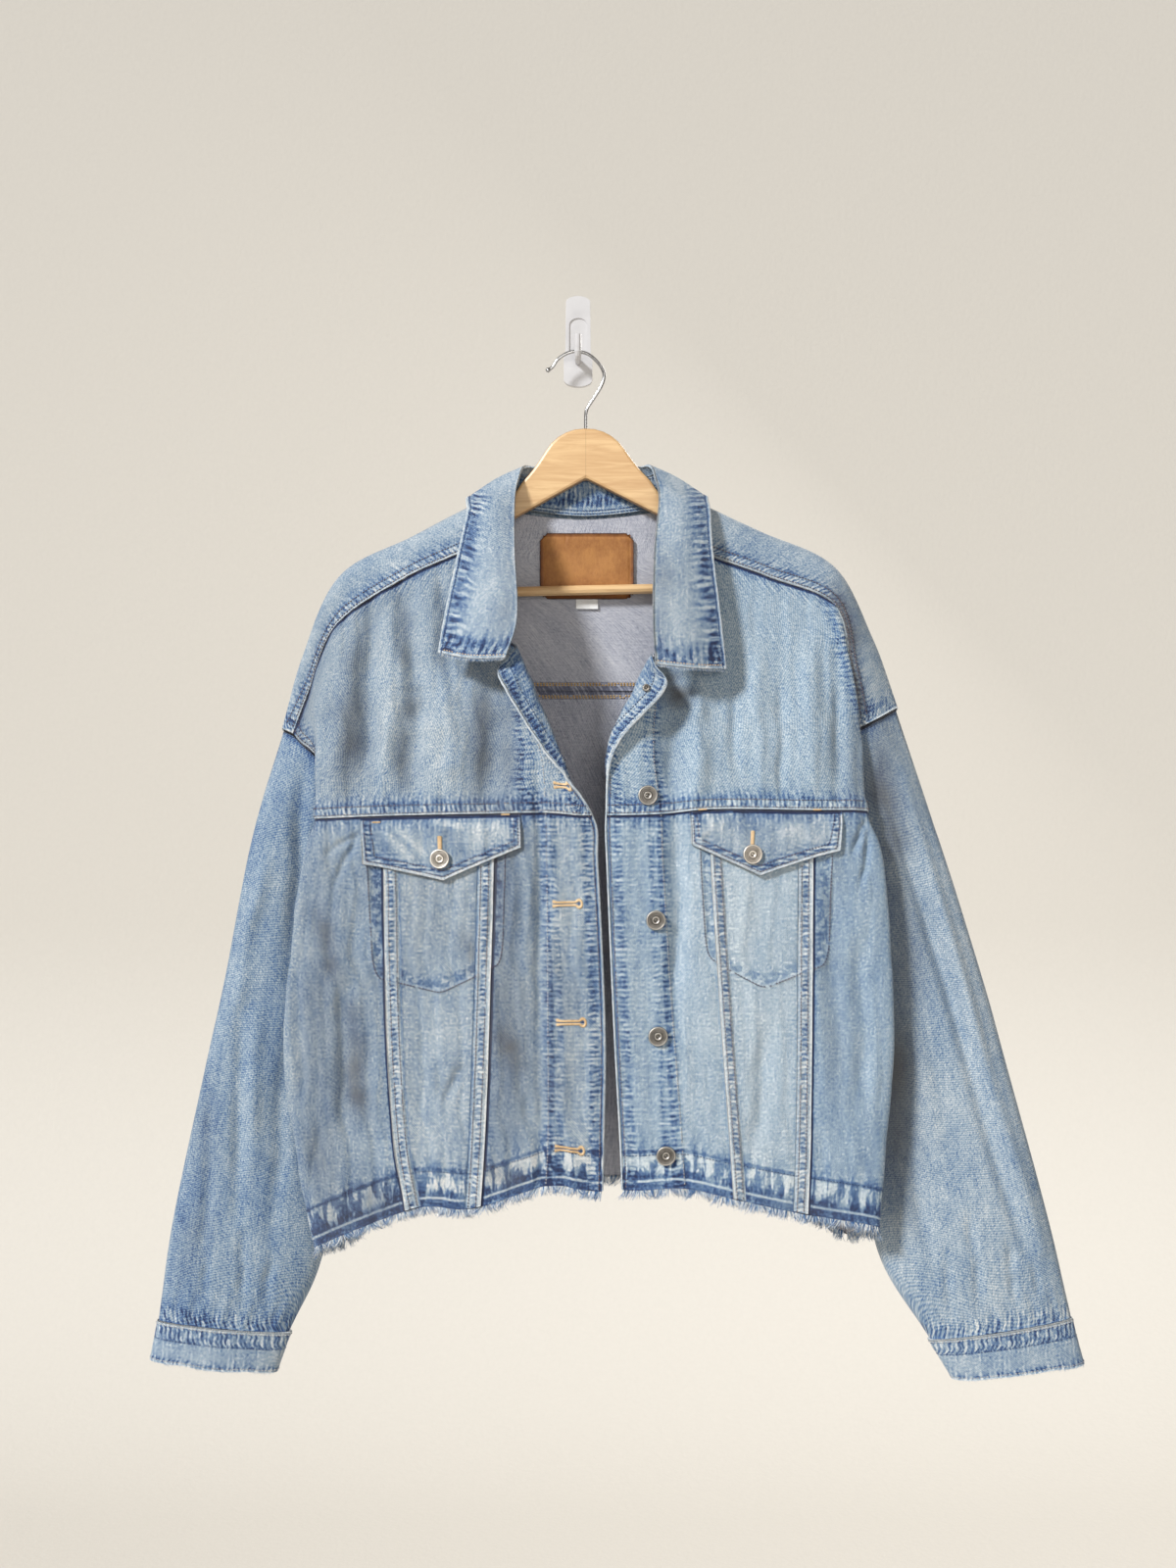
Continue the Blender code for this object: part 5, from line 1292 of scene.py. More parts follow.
# Painted light and shade: the left side's pieces are tinted warmer and greyer, as if in shade, and
# the right side's bluer, as if in sun.
SIDE_LIGHT_TINTS = {"left": (1.0, 0.97, 0.94), "right": (0.98, 1.03, 1.06)}
YOKE_SEAMS = dict(upright=LAPPED, level=LAPPED, raw=BELOW_SEAM, front=PLACKET_EDGE)
PANEL_SEAMS = dict(level=BELOW_SEAM, raw=RAW_HEM, pocket=BAG_EDGE)
FLAP_SEAMS = dict(upright=FLAP_EDGE, level=BELOW_SEAM, shade=0.4)
CENTRE_SEAMS = dict(PANEL_SEAMS, front=PLACKET_EDGE)
OPEN, CLOSED = dict(upright=BESIDE_OPEN), dict(upright=BESIDE_SEAM)
finishes = {"edge": worn_edge("worn_edge"),
            "pocketing": denim("pocketing", tone=0.8, inside=0.9),
            "facing_left": denim("facing_left", 0.5, front=FACING_EDGE, both_faces=True),
            "facing_right": denim("facing_right", 0.62, front=FACING_EDGE, both_faces=True)}
for label, tone, mottle, light_tinted, seams in (
        ("yoke_left", 0.6, 0.7, True, YOKE_SEAMS),
        ("yoke_right", 0.65, 0.5, True, YOKE_SEAMS),
        ("centre_left", 0.585, 1.0, True, {**CENTRE_SEAMS, **OPEN}),
        ("centre_right", 0.64, 0.7, True, {**CENTRE_SEAMS, **CLOSED}),
        ("middle_left", 0.61, 0.9, True, {**PANEL_SEAMS, **CLOSED}),
        ("middle_right", 0.71, 0.5, True, {**PANEL_SEAMS, **CLOSED}),
        ("side_left", 0.555, 1.0, True, {**PANEL_SEAMS, **OPEN}),
        ("side_right", 0.585, 0.6, True, {**PANEL_SEAMS, **OPEN}),
        ("flap_left", 0.6, 1.0, True, FLAP_SEAMS),
        ("flap_right", 0.63, 1.0, False, FLAP_SEAMS),
        ("band_left", 0.64, 1.0, True, dict(upright=OPEN_BAND)),
        ("band_right", 0.68, 1.0, False, dict(upright=OPEN_BAND))):
    light_tint = SIDE_LIGHT_TINTS[label.split("_")[1]] if light_tinted else NATURAL
    finishes[label] = denim(f"twill_{label}", tone, mottle=mottle, light_tint=light_tint, **seams)
front, front_yoke, front_panels = {}, {}, {}
for side in ("left", "right"):
    net = FRONT_PLAIN[side]
    front[side] = net.pressed(*front_folds(net, side))
    front_yoke[side], front_panels[side] = front_pieces(side, net, front[side])
    facing(side, net, front[side])
    seam_bands(side, net, front_panels[side])
    pockets(side, net, front_panels[side])
    edge_cord(side, front[side])
    front_stitching(side, front_yoke[side], front_panels[side])


# ---------------------------------------------------------------------------------------
# The sleeves: a top and an under piece each, seamed behind, set into the armhole under the
# body's edge and hanging empty, and a cuff of two layers buttoned at the back.

SLEEVE_RINGS = {
    "left": (
        ((-289, 35, -446), (-212, 27, -525), 19),
        ((-315, 36, -579), (-213, 22, -622), 21),
        ((-332, 36, -656), (-214, 21, -690), 21),
        ((-361, 34, -791), (-228, 26, -822), 20),
        ((-376, 28, -884), (-259, 26, -895), 14)),
    "right": (
        ((323, 35, -457), (242, 27, -525), 19),
        ((361, 36, -579), (248, 22, -622), 21),
        ((381, 36, -651), (253, 21, -690), 21),
        ((419, 34, -789), (268, 26, -820), 20),
        ((442, 28, -882), (316, 26, -902), 14)),
}
CUFF_ENDS = {
    "left": (((-376, 28, -884), (-259, 26, -895)), ((-383, 27, -920), (-272, 25, -931))),
    "right": (((442, 28, -882), (316, 26, -902)), ((453, 27, -923), (338, 25, -938))),
}
CUFF_DEPTH, CUFF_DROP, CUFF_TURNS, CUFF_LAP = 14, 0.8, (-0.62, 1.52), 0.6
CUFF_ROWS, CUFF_COLUMNS = 24, 260
# Rows of stitching in millimetres from the cuff's top, and from its foot below 0.
CUFF_STITCHES = ((2.2, "pale"), (15.5, "navy"), (-2.6, "pale"))
FULLNESS, SLEEVE_TUCK, SLEEVE_FOLD_DEPTH = 0.8, 3.2, 3.0
SLEEVE_END, SLEEVE_SEAM_GAP = 5, 0.003
TOP_SLEEVE_TURN, UNDER_SLEEVE_TURN = (-0.3, 1.25), (1.25, 1.7)
SLEEVE_CREASES = (
    (-299, -607, -301, -789, 6, -1.6), (-243, -392, -253, -578, 8, -2.2),
    (-277, -472, -305, -616, 7, 1.3), (-285, -607, -287, -742, 7, 1.1),
    (-325, -683, -332, -827, 5, -1.1), (-257, -624, -272, -810, 7, -1.2),
    (-295, -802, -299, -865, 4, -1), (-329, -819, -332, -865, 3, -0.8),
    (-272, -819, -277, -871, 4, -0.9), (-236, -430, -229, -493, 5, -0.9),
    (268, -396, 399, -823, 6, -1.8), (288, -404, 411, -819, 6, 1.4),
    (309, -514, 347, -650, 7, -1), (284, -557, 320, -742, 8, 0.9),
    (288, -700, 317, -844, 6, -1.1), (347, -785, 357, -871, 4, -1),
    (381, -810, 389, -865, 4, -1), (326, -819, 333, -878, 4, -0.9),
    (404, -827, 410, -861, 3, -0.7),
)
SLEEVE_BACK_CREASES = (
    (-262, -470, -300, -700, 8, -1.5), (-290, -640, -330, -840, 8, -1.3),
    (-240, -560, -262, -760, 7, -1.1), (-290, -560, -310, -690, 9, 0.8),
    (285, -470, 335, -690, 8, -1.5), (320, -640, 390, -850, 8, -1.3),
    (268, -560, 300, -770, 7, -1.1), (330, -560, 360, -690, 9, 0.8),
)
# Painted shade and light: the body's shadow down the inner side of the right sleeve, and a darker
# and a lighter band on the left one; same columns as the creases.
SLEEVE_PAINTED_SHADE = (
    (270, -330, 280, -500, 18, -0.32), (280, -500, 290, -800, 19, -0.36),
    (-325, -660, -345, -850, 16, -0.10), (-262, -420, -300, -760, 16, 0.05),
)
SLEEVE_TOP = ((0, -0.34, 0.0), (2, -0.22, 0.3), (5, -0.05, 0.3), (14, 0, 0.1), (20, 0, 0))
SLEEVE_FOOT = ((0, -0.14, 0.4), (3, 0.0, 0.9), (12, 0.02, 0.8), (20, 0, 0))
CUFF_TOP = ((0, 0.26, 0.1), (1.5, 0.2, 0.3), (2.6, -0.16, 0.6), (4, 0, 1.0), (13, 0, 1.0),
            (15, -0.14, 0.6), (17, 0, 0.15))
CUFF_EDGE = ((0, 0.2, 0.2), (1.6, 0.12, 0.6), (3.4, -0.1, 0.7), (6, 0, 0.3), (9, 0, 0))


def read_at(values, length, places):
    """Points between those of a chain, at places in metres along it."""
    return np.stack([np.interp(places, length, values[:, k]) for k in range(3)], axis=-1)


def along(points, shares):
    """Points at shares of the length of a chain."""
    length = chain_length(points)
    return read_at(points, length, shares * length[-1])


def armhole(side, turns, tuck):
    """Points round the armhole, tucked under its edge; turns are half turns over the front."""
    tip, edge, first_row = (0, 0, 0) if side == "left" else (14, 6, 2)
    over = BACK_YOKE_PLAIN.base(np.array([3.0, 4.0, 5.0]), tip)
    rows = np.arange(first_row, UNDERARM_ROW + 0.01, 0.125)
    forward = np.vstack([over, FRONT_PLAIN[side].base(rows, SIDE)[1:]])
    behind = np.vstack([BACK_YOKE_PLAIN.base(np.array([3.0, 2.0, 1.0]), tip),
                        back_panel.base(np.linspace(0, 1.875, 16), edge), forward[-1:]])
    turns = np.mod(turns, 2)
    on_front = along(forward, np.clip(turns, 0, 1))
    on_back = along(behind, np.clip(2 - turns, 0, 1))
    ring = np.where((turns <= 1)[:, None], on_front, on_back)
    inward = unit(along(forward, np.array([0.0, 1.0])).mean(axis=0) - ring)
    return ring + inward * tuck * MM


def oval(outer, inner, half_depth, turns):
    """A full oval through two points: cosine across, and sine to the power 0.8 for depth."""
    outer, inner = (np.array(p, float) * (MM, -MM, MM) for p in (outer, inner))
    angle = turns * math.pi
    across, deep = np.cos(angle), np.sin(angle)
    deep = np.sign(deep) * np.abs(deep) ** FULLNESS
    return ((outer + inner) / 2 + across[:, None] * (outer - inner) / 2
            + deep[:, None] * np.array([0, -half_depth * MM, 0]))


class Sleeve(Drape):
    """A tube through the armhole and five ovals; rows are the rings and columns half turns."""

    def __init__(self, side, folds):
        self.side, self.folds = side, tuple(folds)
        self.outward = -1 if side == "left" else 1

    def base(self, rows, columns):
        """A Catmull-Rom curve through the armhole and the ovals at each turn round them."""
        rows, columns = np.broadcast_arrays(rows, columns)
        turns = columns.ravel()
        rings = [armhole(self.side, turns, SLEEVE_TUCK)]
        rings += [oval(*ring, turns) for ring in SLEEVE_RINGS[self.side]]
        share = curve_weights(rows.ravel(), len(rings))
        return np.einsum("kr,rkx->kx", share, np.stack(rings)).reshape(rows.shape + (3,))


def ease(rows, turns):
    """Small lengthwise gathers: waves round the sleeve that grow towards the cuff."""
    return step(rows, 4.35, 4.95) * uneven(turns * 62, 2.6)


def gathers(points, normals, rows, columns):
    """The gathers above the cuff, and rolled ease below the armhole."""
    high = np.exp(-rows / 0.12) * uneven(columns * 40, 1.1)
    low = 0.9 * ease(rows, columns) * (1 - 0.5 * step(rows, 4.9, 5))
    return MM * (low + 0.35 * high)


def sleeve_pieces(side):
    """The top and the under piece of a sleeve, its seams' stitching and its cuff."""
    before, behind = creases(SLEEVE_CREASES, -1.0), creases(SLEEVE_BACK_CREASES, 1.0)
    sleeve = Sleeve(side, (gathers, lambda *at: SLEEVE_FOLD_DEPTH * before(*at), behind))
    rows = sleeve.evenly(0, SLEEVE_END - 0.002, 0.3, 2.6, True)
    for name, (start, end), spacing in (("top", TOP_SLEEVE_TURN, 2.4),
                                        ("under", UNDER_SLEEVE_TURN, 3.0)):
        first, last = start + SLEEVE_SEAM_GAP, end - SLEEVE_SEAM_GAP
        at = crossed(rows, sleeve.evenly(first, last, 2.5, spacing, False))
        points = sleeve.at(*at)
        u, v, u_end, v_end = arc_lengths(points)
        # Gathers as a tone, darker and greyer in their hollows as painted shade, and the sleeves'
        # painted shade and light.
        shade_and_wash = 0.06 * ease(*at) + shade_and_wash_bands(SLEEVE_PAINTED_SHADE, points, sleeve.normal(*at))
        sew_in(f"sleeve_{name}_{side}", points, CLOTH, sleeve.outward,
               finishes[f"sleeve_{side}"], [f"front_yoke_{side}_cloth", "back_yoke_cloth"],
               (np.minimum(u, u_end), v, v_end), (FAR, FAR, shade_and_wash))
    rows = np.linspace(0.15, 4.97, 700)
    sewn_lines(sleeve, rows, TOP_SLEEVE_TURN[0], False, (2, 8), "pale")
    sewn_lines(sleeve, rows, TOP_SLEEVE_TURN[1], False, (-2,), "pale")
    cuff(side, sleeve.outward)


def cuff_grid(side):
    """Points of the cuff at shares of its depth and of its way round, lapped at its end, the
    directions out of it, and the distances over it."""
    turns = np.linspace(*CUFF_TURNS, CUFF_COLUMNS)
    top, low = (oval(*ends, depth, turns)
                for ends, depth in zip(CUFF_ENDS[side], (CUFF_DEPTH, CUFF_DEPTH - 1)))
    down = unit(low - top)
    share = np.linspace(0, 1, CUFF_ROWS)[:, None, None]
    points = top + down * CUFF_DROP * MM + share * (low - top)
    away = unit(points - points.mean(axis=1, keepdims=True))
    lap = np.linspace(0, 1, CUFF_COLUMNS)[None, :, None]
    points = points + away * lap * (DOUBLE_CLOTH + CUFF_LAP) * MM
    u, v, u_end, v_end = arc_lengths(points)
    height = (0.55 * cuff_bars(u, v)
              - 0.55 * np.exp(-((v / MM - 15.2) / 1.4) ** 2)
              + 0.35 * np.exp(-((v / MM - 2.2) / 1.6) ** 2)
              + 0.3 * np.exp(-(v_end / MM - 2.0) ** 2 / 4))
    wave = 1.1 * uneven(u / MM * 0.075, 3.3 if side == "left" else 0.8) * share[..., 0] ** 2
    points = points + away * height[..., None] * MM + down * wave[..., None] * MM
    return points, away, (u, v, u_end, v_end)


def cuff_bars(u, v):
    """Puckers across the band between the cuff's rows of stitching."""
    return uneven(u / MM * 0.66, 1.9) * np.exp(-np.abs(v / MM - 9) / 9)


def cuff(side, outward):
    """A cuff's wall and the three rows of stitching round it."""
    points, away, (u, v, u_end, v_end) = cuff_grid(side)
    # Its puckers also as a tone: lighter where raised, darker and greyer where sunk, the grey as
    # painted shade.
    sew_in(f"cuff_{side}", points, DOUBLE_CLOTH, outward, finishes["cuff"],
           [f"sleeve_top_{side}_cloth"], (np.minimum(u, u_end), v, v_end),
           (FAR, FAR, 0.05 * cuff_bars(u, v)))
    depth = float(v[-1].mean()) / MM
    for inset, kind in CUFF_STITCHES:
        row = inset % depth / depth * (len(points) - 1)
        low = int(row)
        line = points[low] + (points[min(low + 1, len(points) - 1)] - points[low]) * (row - low)
        THREADS[kind].append(line + away[low] * STITCH_RISE * MM)


SLEEVE_SEAMS = dict(inside=0.45, upright=LAPPED, level=SLEEVE_TOP, raw=SLEEVE_FOOT)
finishes["sleeve_left"] = denim("twill_sleeve_left", 0.505, **SLEEVE_SEAMS)
finishes["sleeve_right"] = denim("twill_sleeve_right", 0.61, **SLEEVE_SEAMS)
finishes["cuff"] = denim("twill_cuff", tone=0.6, inside=0.45, level=CUFF_TOP, raw=CUFF_EDGE,
                         upright=CUFF_EDGE)
for side in ("left", "right"):
    sleeve_pieces(side)


# ---------------------------------------------------------------------------------------
# The collar: a stand sewn into the neck seam and a fall of two layers, folded over round
# the neck, its long points hanging down the chest with frayed, worn-through ends.

STAND, RIM_RADIUS = 1.8, 1.35
COLLAR_LAST, FALL_EDGE = 16, 2
STATION_LENGTH = 37          # millimetres to a station, about
COLLAR = (
    ((-62, 106, -297), (-92, 102, -297), (-120, 86, -291)),
    ((-52, 98, -261), (-84, 94, -262), (-115, 80, -259)),
    ((-55, 76, -200), (-80, 74, -199), (-104, 62, -198)),
    ((-56, 49, -152), (-78, 51, -157), (-98, 44, -163)),
    ((-53, 34, -130), (-76, 36, -142), (-99, 34, -154)),
    ((-49, 22, -118), (-73, 22, -129), (-99, 23, -147)),
    ((-40, 13, -117), (-62, 11, -132), (-90, 9.5, -156)),
    ((-24, 10, -117), (-40, 6.5, -142), (-60, 6.5, -178)),
    ((6, 9, -117), (6, 6.5, -143), (6, 6.5, -184)),
    ((38, 10, -117), (54, 6.5, -142), (74, 6.5, -178)),
    ((56, 13, -117), (78, 11, -132), (106, 9.5, -155)),
    ((65, 22, -117), (89, 22, -128), (115, 23, -146)),
    ((69, 34, -129), (92, 36, -141), (116, 34, -152)),
    ((72, 49, -152), (93, 51, -157), (117, 44, -162)),
    ((67, 76, -200), (92, 74, -199), (118, 62, -199)),
    ((65, 98, -261), (95, 94, -263), (124, 80, -262)),
    ((67, 106, -302), (97, 102, -305), (128, 86, -305)),
)
COLLAR_STAND = (
    ((-65, 75, -266), (-56, 90, -270)),
    ((-73, 59, -228), (-57, 82, -234)),
    ((-79, 46, -185), (-58, 66, -196)),
    ((-81, 36, -162), (-59, 44, -159)),
    ((-82, 29, -151), (-58, 31, -136)),
    ((-81, 22, -144), (-55, 22, -125)),
    ((-69, 13.8, -152), (-48, 13.6, -127)),
    ((-44, 13.6, -157), (-29, 13.4, -128)),
    ((6, 13.4, -162), (6, 13.2, -128)),
    ((59, 13.6, -157), (43, 13.4, -128)),
    ((84, 13.8, -151), (63, 13.6, -126)),
    ((95, 22, -143), (71, 22, -124)),
    ((96, 29, -150), (74, 31, -135)),
    ((95, 36, -163), (75, 44, -159)),
    ((92, 46, -188), (71, 66, -196)),
    ((86, 59, -233), (69, 82, -236)),
    ((77, 75, -274), (69, 90, -279)),
)
COLLAR_CREASES = (
    (72, -280, 84, -296, 3, 0.5), (-70, -270, -66, -290, 4, -0.5), (-96, -240, -94, -280, 5, -0.4),
    (98, -200, 100, -280, 6, -0.4),
)
# Painted shade on both leaves, in the same columns as the creases.
COLLAR_PAINTED_SHADE = ((-60, -150, -56, -290, 13, -0.13), (72, -190, 70, -300, 13, -0.12))
COLLAR_EDGE = ((0, 0.2, 0.0), (1.5, 0.1, 0.2), (2.3, -0.4, 0.2), (3.4, -0.04, 0.6),
               (8, -0.12, 1.1), (12, -0.06, 1.0), (18, 0.0, 0.6), (28, 0.02, 0))
COLLAR_END = ((0, 0.2, 0.1), (2.2, 0.1, 0.3), (3.4, -0.3, 0.3), (6, -0.06, 0.9),
              (14, -0.1, 1.0), (20, 0.0, 0.5), (28, 0.02, 0))
COLLAR_FOLD = ((0, 0.1, 0.3), (4, 0.02, 0.3), (10, 0, 0))


def quilting(rows, away):
    """Uneven quilting that is strongest 8.5 mm inside the edge."""
    return uneven(rows * STATION_LENGTH * 1.05, 0.4) * np.exp(-((away - 8.5) / 5) ** 2)


def collar_ridges(points, normals, rows, columns):
    """A corded rim, a hollow along its stitches and the quilting inside it."""
    away = gap(points, fall_plain.base(rows, FALL_EDGE))
    for last in (0, COLLAR_LAST):
        away = np.minimum(away, gap(points, fall_plain.base(last, columns)))
    cord = 0.7 * np.exp(-((away - 0.9) / 1.1) ** 2) - 0.45 * np.exp(-((away - 3.2) / 1.1) ** 2)
    slow = 0.12 * uneven(rows * STATION_LENGTH * 0.45, 2.0)
    return MM * (cord + 0.38 * quilting(rows, away) + slow)


def collar_pieces():
    """The fall and the stand, the cord round the fall's edge, and their stitching."""
    rows, columns = crossed(fall.evenly(0, COLLAR_LAST, 1, 1.7, True),
                            fall.graded(2, False, 0, 1.9, 1.7, 1.0, FALL_EDGE))
    points = fall.at(rows, columns)
    u, v, u_end, v_end = arc_lengths(points)
    twill = denim("twill_collar", tone=0.6, inside=0.5, upright=COLLAR_EDGE, level=COLLAR_END,
                  raw=COLLAR_FOLD, both_faces=True, pitch=1.6)
    # Quilting as a tone, and the painted shade on the leaves.
    tone = 0.1 * quilting(rows, u_end / MM) + shade_and_wash_bands(COLLAR_PAINTED_SHADE, points)
    sew_in("collar", points, DOUBLE_CLOTH, fall.outward, twill, ["collar_stand_cloth"],
           (u_end, np.minimum(v, v_end), u), (FAR, FAR, tone), squared=True)

    points = stand.at(*crossed(stand.evenly(0, COLLAR_LAST, 1, 2.4, True),
                               stand.evenly(0, 1, 8, 1.8, False)))
    u, v, u_end, v_end = arc_lengths(points)
    twill = denim("twill_stand", tone=0.62, upright=STAND_FOOT, front=STAND_TOP, both_faces=True)
    sew_in("collar_stand", points, STAND, stand.outward, twill, ["back_yoke_cloth"],
           (u, FAR, FAR), (u_end, FAR, 0))

    rows = np.linspace(0.0, COLLAR_LAST, 1500)
    radii = RIM_RADIUS * MM * (1 + 0.14 * uneven(rows[::2] * 41, 2))
    rim = tube("collar_rim", fall.at(rows[::2], FALL_EDGE, -DOUBLE_CLOTH / 2), radii, sides=10)
    declare(rim, finishes["edge"])
    sewn_lines(fall, rows, FALL_EDGE, False, (-3.0,), "navy")
    for last, inset in ((0, 3.2), (COLLAR_LAST, -3.2)):
        sewn_lines(fall, last, np.linspace(0.03, 1.95, 160), True, (inset,), "tan", STITCH_RISE)
    rows = np.linspace(0.1, COLLAR_LAST - 0.1, 900)
    for column, insets in ((0, (1.6, 4.4)), (1, (-3.0,))):
        sewn_lines(stand, rows, column, False, insets, "navy", -STAND - STITCH_RISE)


STAND_FOOT = ((0, 0.1, 0.0), (1.5, -0.3, 0.1), (3, 0.1, 0.0), (4.6, -0.3, 0.1), (6, 0.0, 0.5),
              (9, -0.2, 0.9), (16, -0.14, 0.9), (24, 0.0, 0.6))
STAND_TOP = ((0, 0.1, 0.1), (3, -0.1, 0.4), (5, 0, 0))
fall_plain = Drape(np.array(COLLAR), -1)
fall = fall_plain.pressed(collar_ridges, creases(COLLAR_CREASES))
stand = Drape(np.array(COLLAR_STAND), 1)
collar_pieces()


# ---------------------------------------------------------------------------------------
# Tack buttons: pressed caps of antiqued metal with plain rings round a hollow centre. Each
# stands on a tack driven through the cloth, and the buttonholes are worked in tan thread.

BUTTON_RADIUS, CUFF_BUTTON_RADIUS, CUFF_BUTTON_SHARE = 8.5, 7, 0.955
LAYER_GAP = 0.3
FRONT_BUTTONS = ((60, -415), (67, -520), (69, -620), (76, -724))
TURNED_BUTTON, TURNED_BUTTON_LIFT = (0.5, 1.0), 0.5
FLAP_BUTTONS = {"left": (3.49, 3.89), "right": (3.41, 3.84)}
BUTTON_PROFILE = (           # half section of the cap, from its middle to its foot
    (0, 1.7), (0.9, 1.75), (1.9, 2.2), (2.5, 2.75), (3.0, 2.8), (3.4, 2.55), (4.0, 2.45),
    (4.4, 2.6), (4.8, 2.45), (5.4, 2.5), (5.9, 2.75), (6.3, 2.55), (6.9, 2.75), (7.5, 3.1),
    (8.1, 3.0), (8.45, 2.5), (8.5, 1.9), (7.9, 1.2), (3.8, 0.9), (3.2, 0), (0, 0),
)
TACK_PROFILE = ((0, 1.3), (1.2, 1.25), (2.4, 1.05), (3.2, 0.6), (3.4, 0.1), (3.2, 0), (0, 0))
BEADS, BEAD_RING, BEAD_RADIUS, BEAD_FOOT, BEAD_TOP = 26, 6.6, 0.42, 2.5, 3.0
# How much of the ground is rubbed bright, by a tenth of the radius in millimetres.
BUTTON_RINGS = [(at, bright, 0, 0) for at, bright in (
    (0.0, 0.7), (0.16, 0.5), (0.24, 1.0), (0.3, 0.9), (0.34, 0.1), (0.42, 0.0), (0.46, 0.6),
    (0.5, 0.1), (0.58, 0.3), (0.66, 0.5), (0.7, 0.1), (0.74, 0.9), (0.8, 1.0), (0.84, 0.3))]
BUTTONHOLES = (              # x, z and length
    (-14, -406, 11), (-10, -507, 20), (-7, -610, 20), (-8, -718, 20),
)
EYE_IN, EYE_OUT = 1.7, 4.7
FLAP_BARS = {"left": ((-174, -438), (-62, -431)), "right": ((107, -427), (208, -427))}


def square_to(way):
    """A turning matrix whose third axis is way, one long."""
    side = unit(np.cross((0.0, 0.0, 1.0), way))
    return np.stack([side, np.cross(way, side), way], axis=1)


def cap(profile, scale):
    """Points and faces of a profile turned round: radius × (cos, sin) at each height."""
    steps = 40
    angle = np.linspace(0, 2 * math.pi, steps, endpoint=False)
    inner = np.array(profile[1:-1]) * scale * MM
    rings = np.stack([inner[:, :1] * np.cos(angle), inner[:, :1] * np.sin(angle),
                      np.broadcast_to(inner[:, 1:], (len(inner), steps))], axis=-1)
    middle = [(0, 0, height * scale * MM) for height in (profile[0][1], profile[-1][1])]
    points = np.vstack([rings.reshape(-1, 3), middle])
    faces = grid_faces(len(inner), steps, wrap=True)[:, ::-1].tolist()
    top, foot = len(points) - 2, len(points) - 1
    last = (len(inner) - 1) * steps
    for k in range(steps):
        after = (k + 1) % steps
        faces.append((top, k, after))
        faces.append((foot, last + after, last + k))
    return points, faces


def bead_ring(scale):
    """Dots in a ring on the cap: small six-sided domes."""
    spot = np.linspace(0, 2 * math.pi, 6, endpoint=False)
    rim = np.stack([np.cos(spot), np.sin(spot), 0 * spot], axis=1) * BEAD_RADIUS
    dome = np.vstack([rim + (0, 0, BEAD_FOOT), [(0, 0, BEAD_TOP)]])
    angle = np.linspace(0, 2 * math.pi, BEADS, endpoint=False)
    centres = np.stack([np.cos(angle), np.sin(angle), 0 * angle], axis=1) * BEAD_RING
    points = (centres[:, None] + dome).reshape(-1, 3) * scale * MM
    faces = []
    for first in range(0, BEADS * 7, 7):
        faces += [(first + k, first + (k + 1) % 6, first + 6) for k in range(6)]
        faces.append(tuple(first + k for k in range(5, -1, -1)))
    return points, faces


def button(node, seat, way, scale=1.0, profile=BUTTON_PROFILE):
    """A cap with its ring of dots, or a tack's head, on the cloth at seat and facing way."""
    points, faces = cap(profile, scale)
    if profile is BUTTON_PROFILE:
        bead_points, bead_faces = bead_ring(scale)
        faces += [tuple(len(points) + k for k in face) for face in bead_faces]
        points = np.vstack([points, bead_points])
    way = unit(np.asarray(way, float))
    points = points @ square_to(way).T + seat + way * LAYER_GAP * MM
    made = mesh_piece(node + "_cap", points, faces)
    away = np.linalg.norm(np.cross(points - seat, way), axis=1)
    layer = made.data.attributes.new("radius", "FLOAT", "POINT")
    layer.data.foreach_set("value", (away / MM / scale).astype(np.float32))
    declare(made, metal_finishes["bright" if "flap" in node else "antique"], node)


def button_metal(name, dark, pale):
    """Plated cap: dark in its hollows and round its rings, rubbed pale on its ridges."""
    metal = Finish(name, metallic=1.0)
    place = metal.place()
    tarnish = metal.noise(place, 420, 4, 0.6)
    pits = metal.noise(place, 1600, 2)
    radius = metal.layer("radius", "Fac") * 0.1
    rings = metal.part_of_colour(metal.ramp(radius, BUTTON_RINGS), 0)
    tone = tarnish * 0.4 + pits * 0.2 + rings * 0.6 - 0.05
    metal.drive(base_color=metal.ramp(tone, [(0.25, *dark), (0.8, *pale)]),
                roughness=0.28 + tarnish * 0.3)
    metal.bump(tarnish + pits, 0.0003, 0.5)
    return metal.material


metal_finishes = {
    "antique": button_metal("antique_pewter", (0.055, 0.05, 0.045), (0.52, 0.49, 0.45)),
    "bright": button_metal("rubbed_nickel", (0.14, 0.12, 0.1), (0.88, 0.82, 0.74)),
}


def place_of(net, x, z, columns):
    """Row and column of the point of a front that lies nearest to x and z from the front."""
    rows, columns = np.meshgrid(np.linspace(0, HEM_ROW, 281), np.linspace(*columns, 201),
                                indexing="ij")
    found = net.base(rows, columns)
    miss = (found[..., 0] - x * MM) ** 2 + (found[..., 2] - z * MM) ** 2
    best = np.unravel_index(np.argmin(miss), miss.shape)
    return np.array([rows[best]]), np.array([columns[best]])


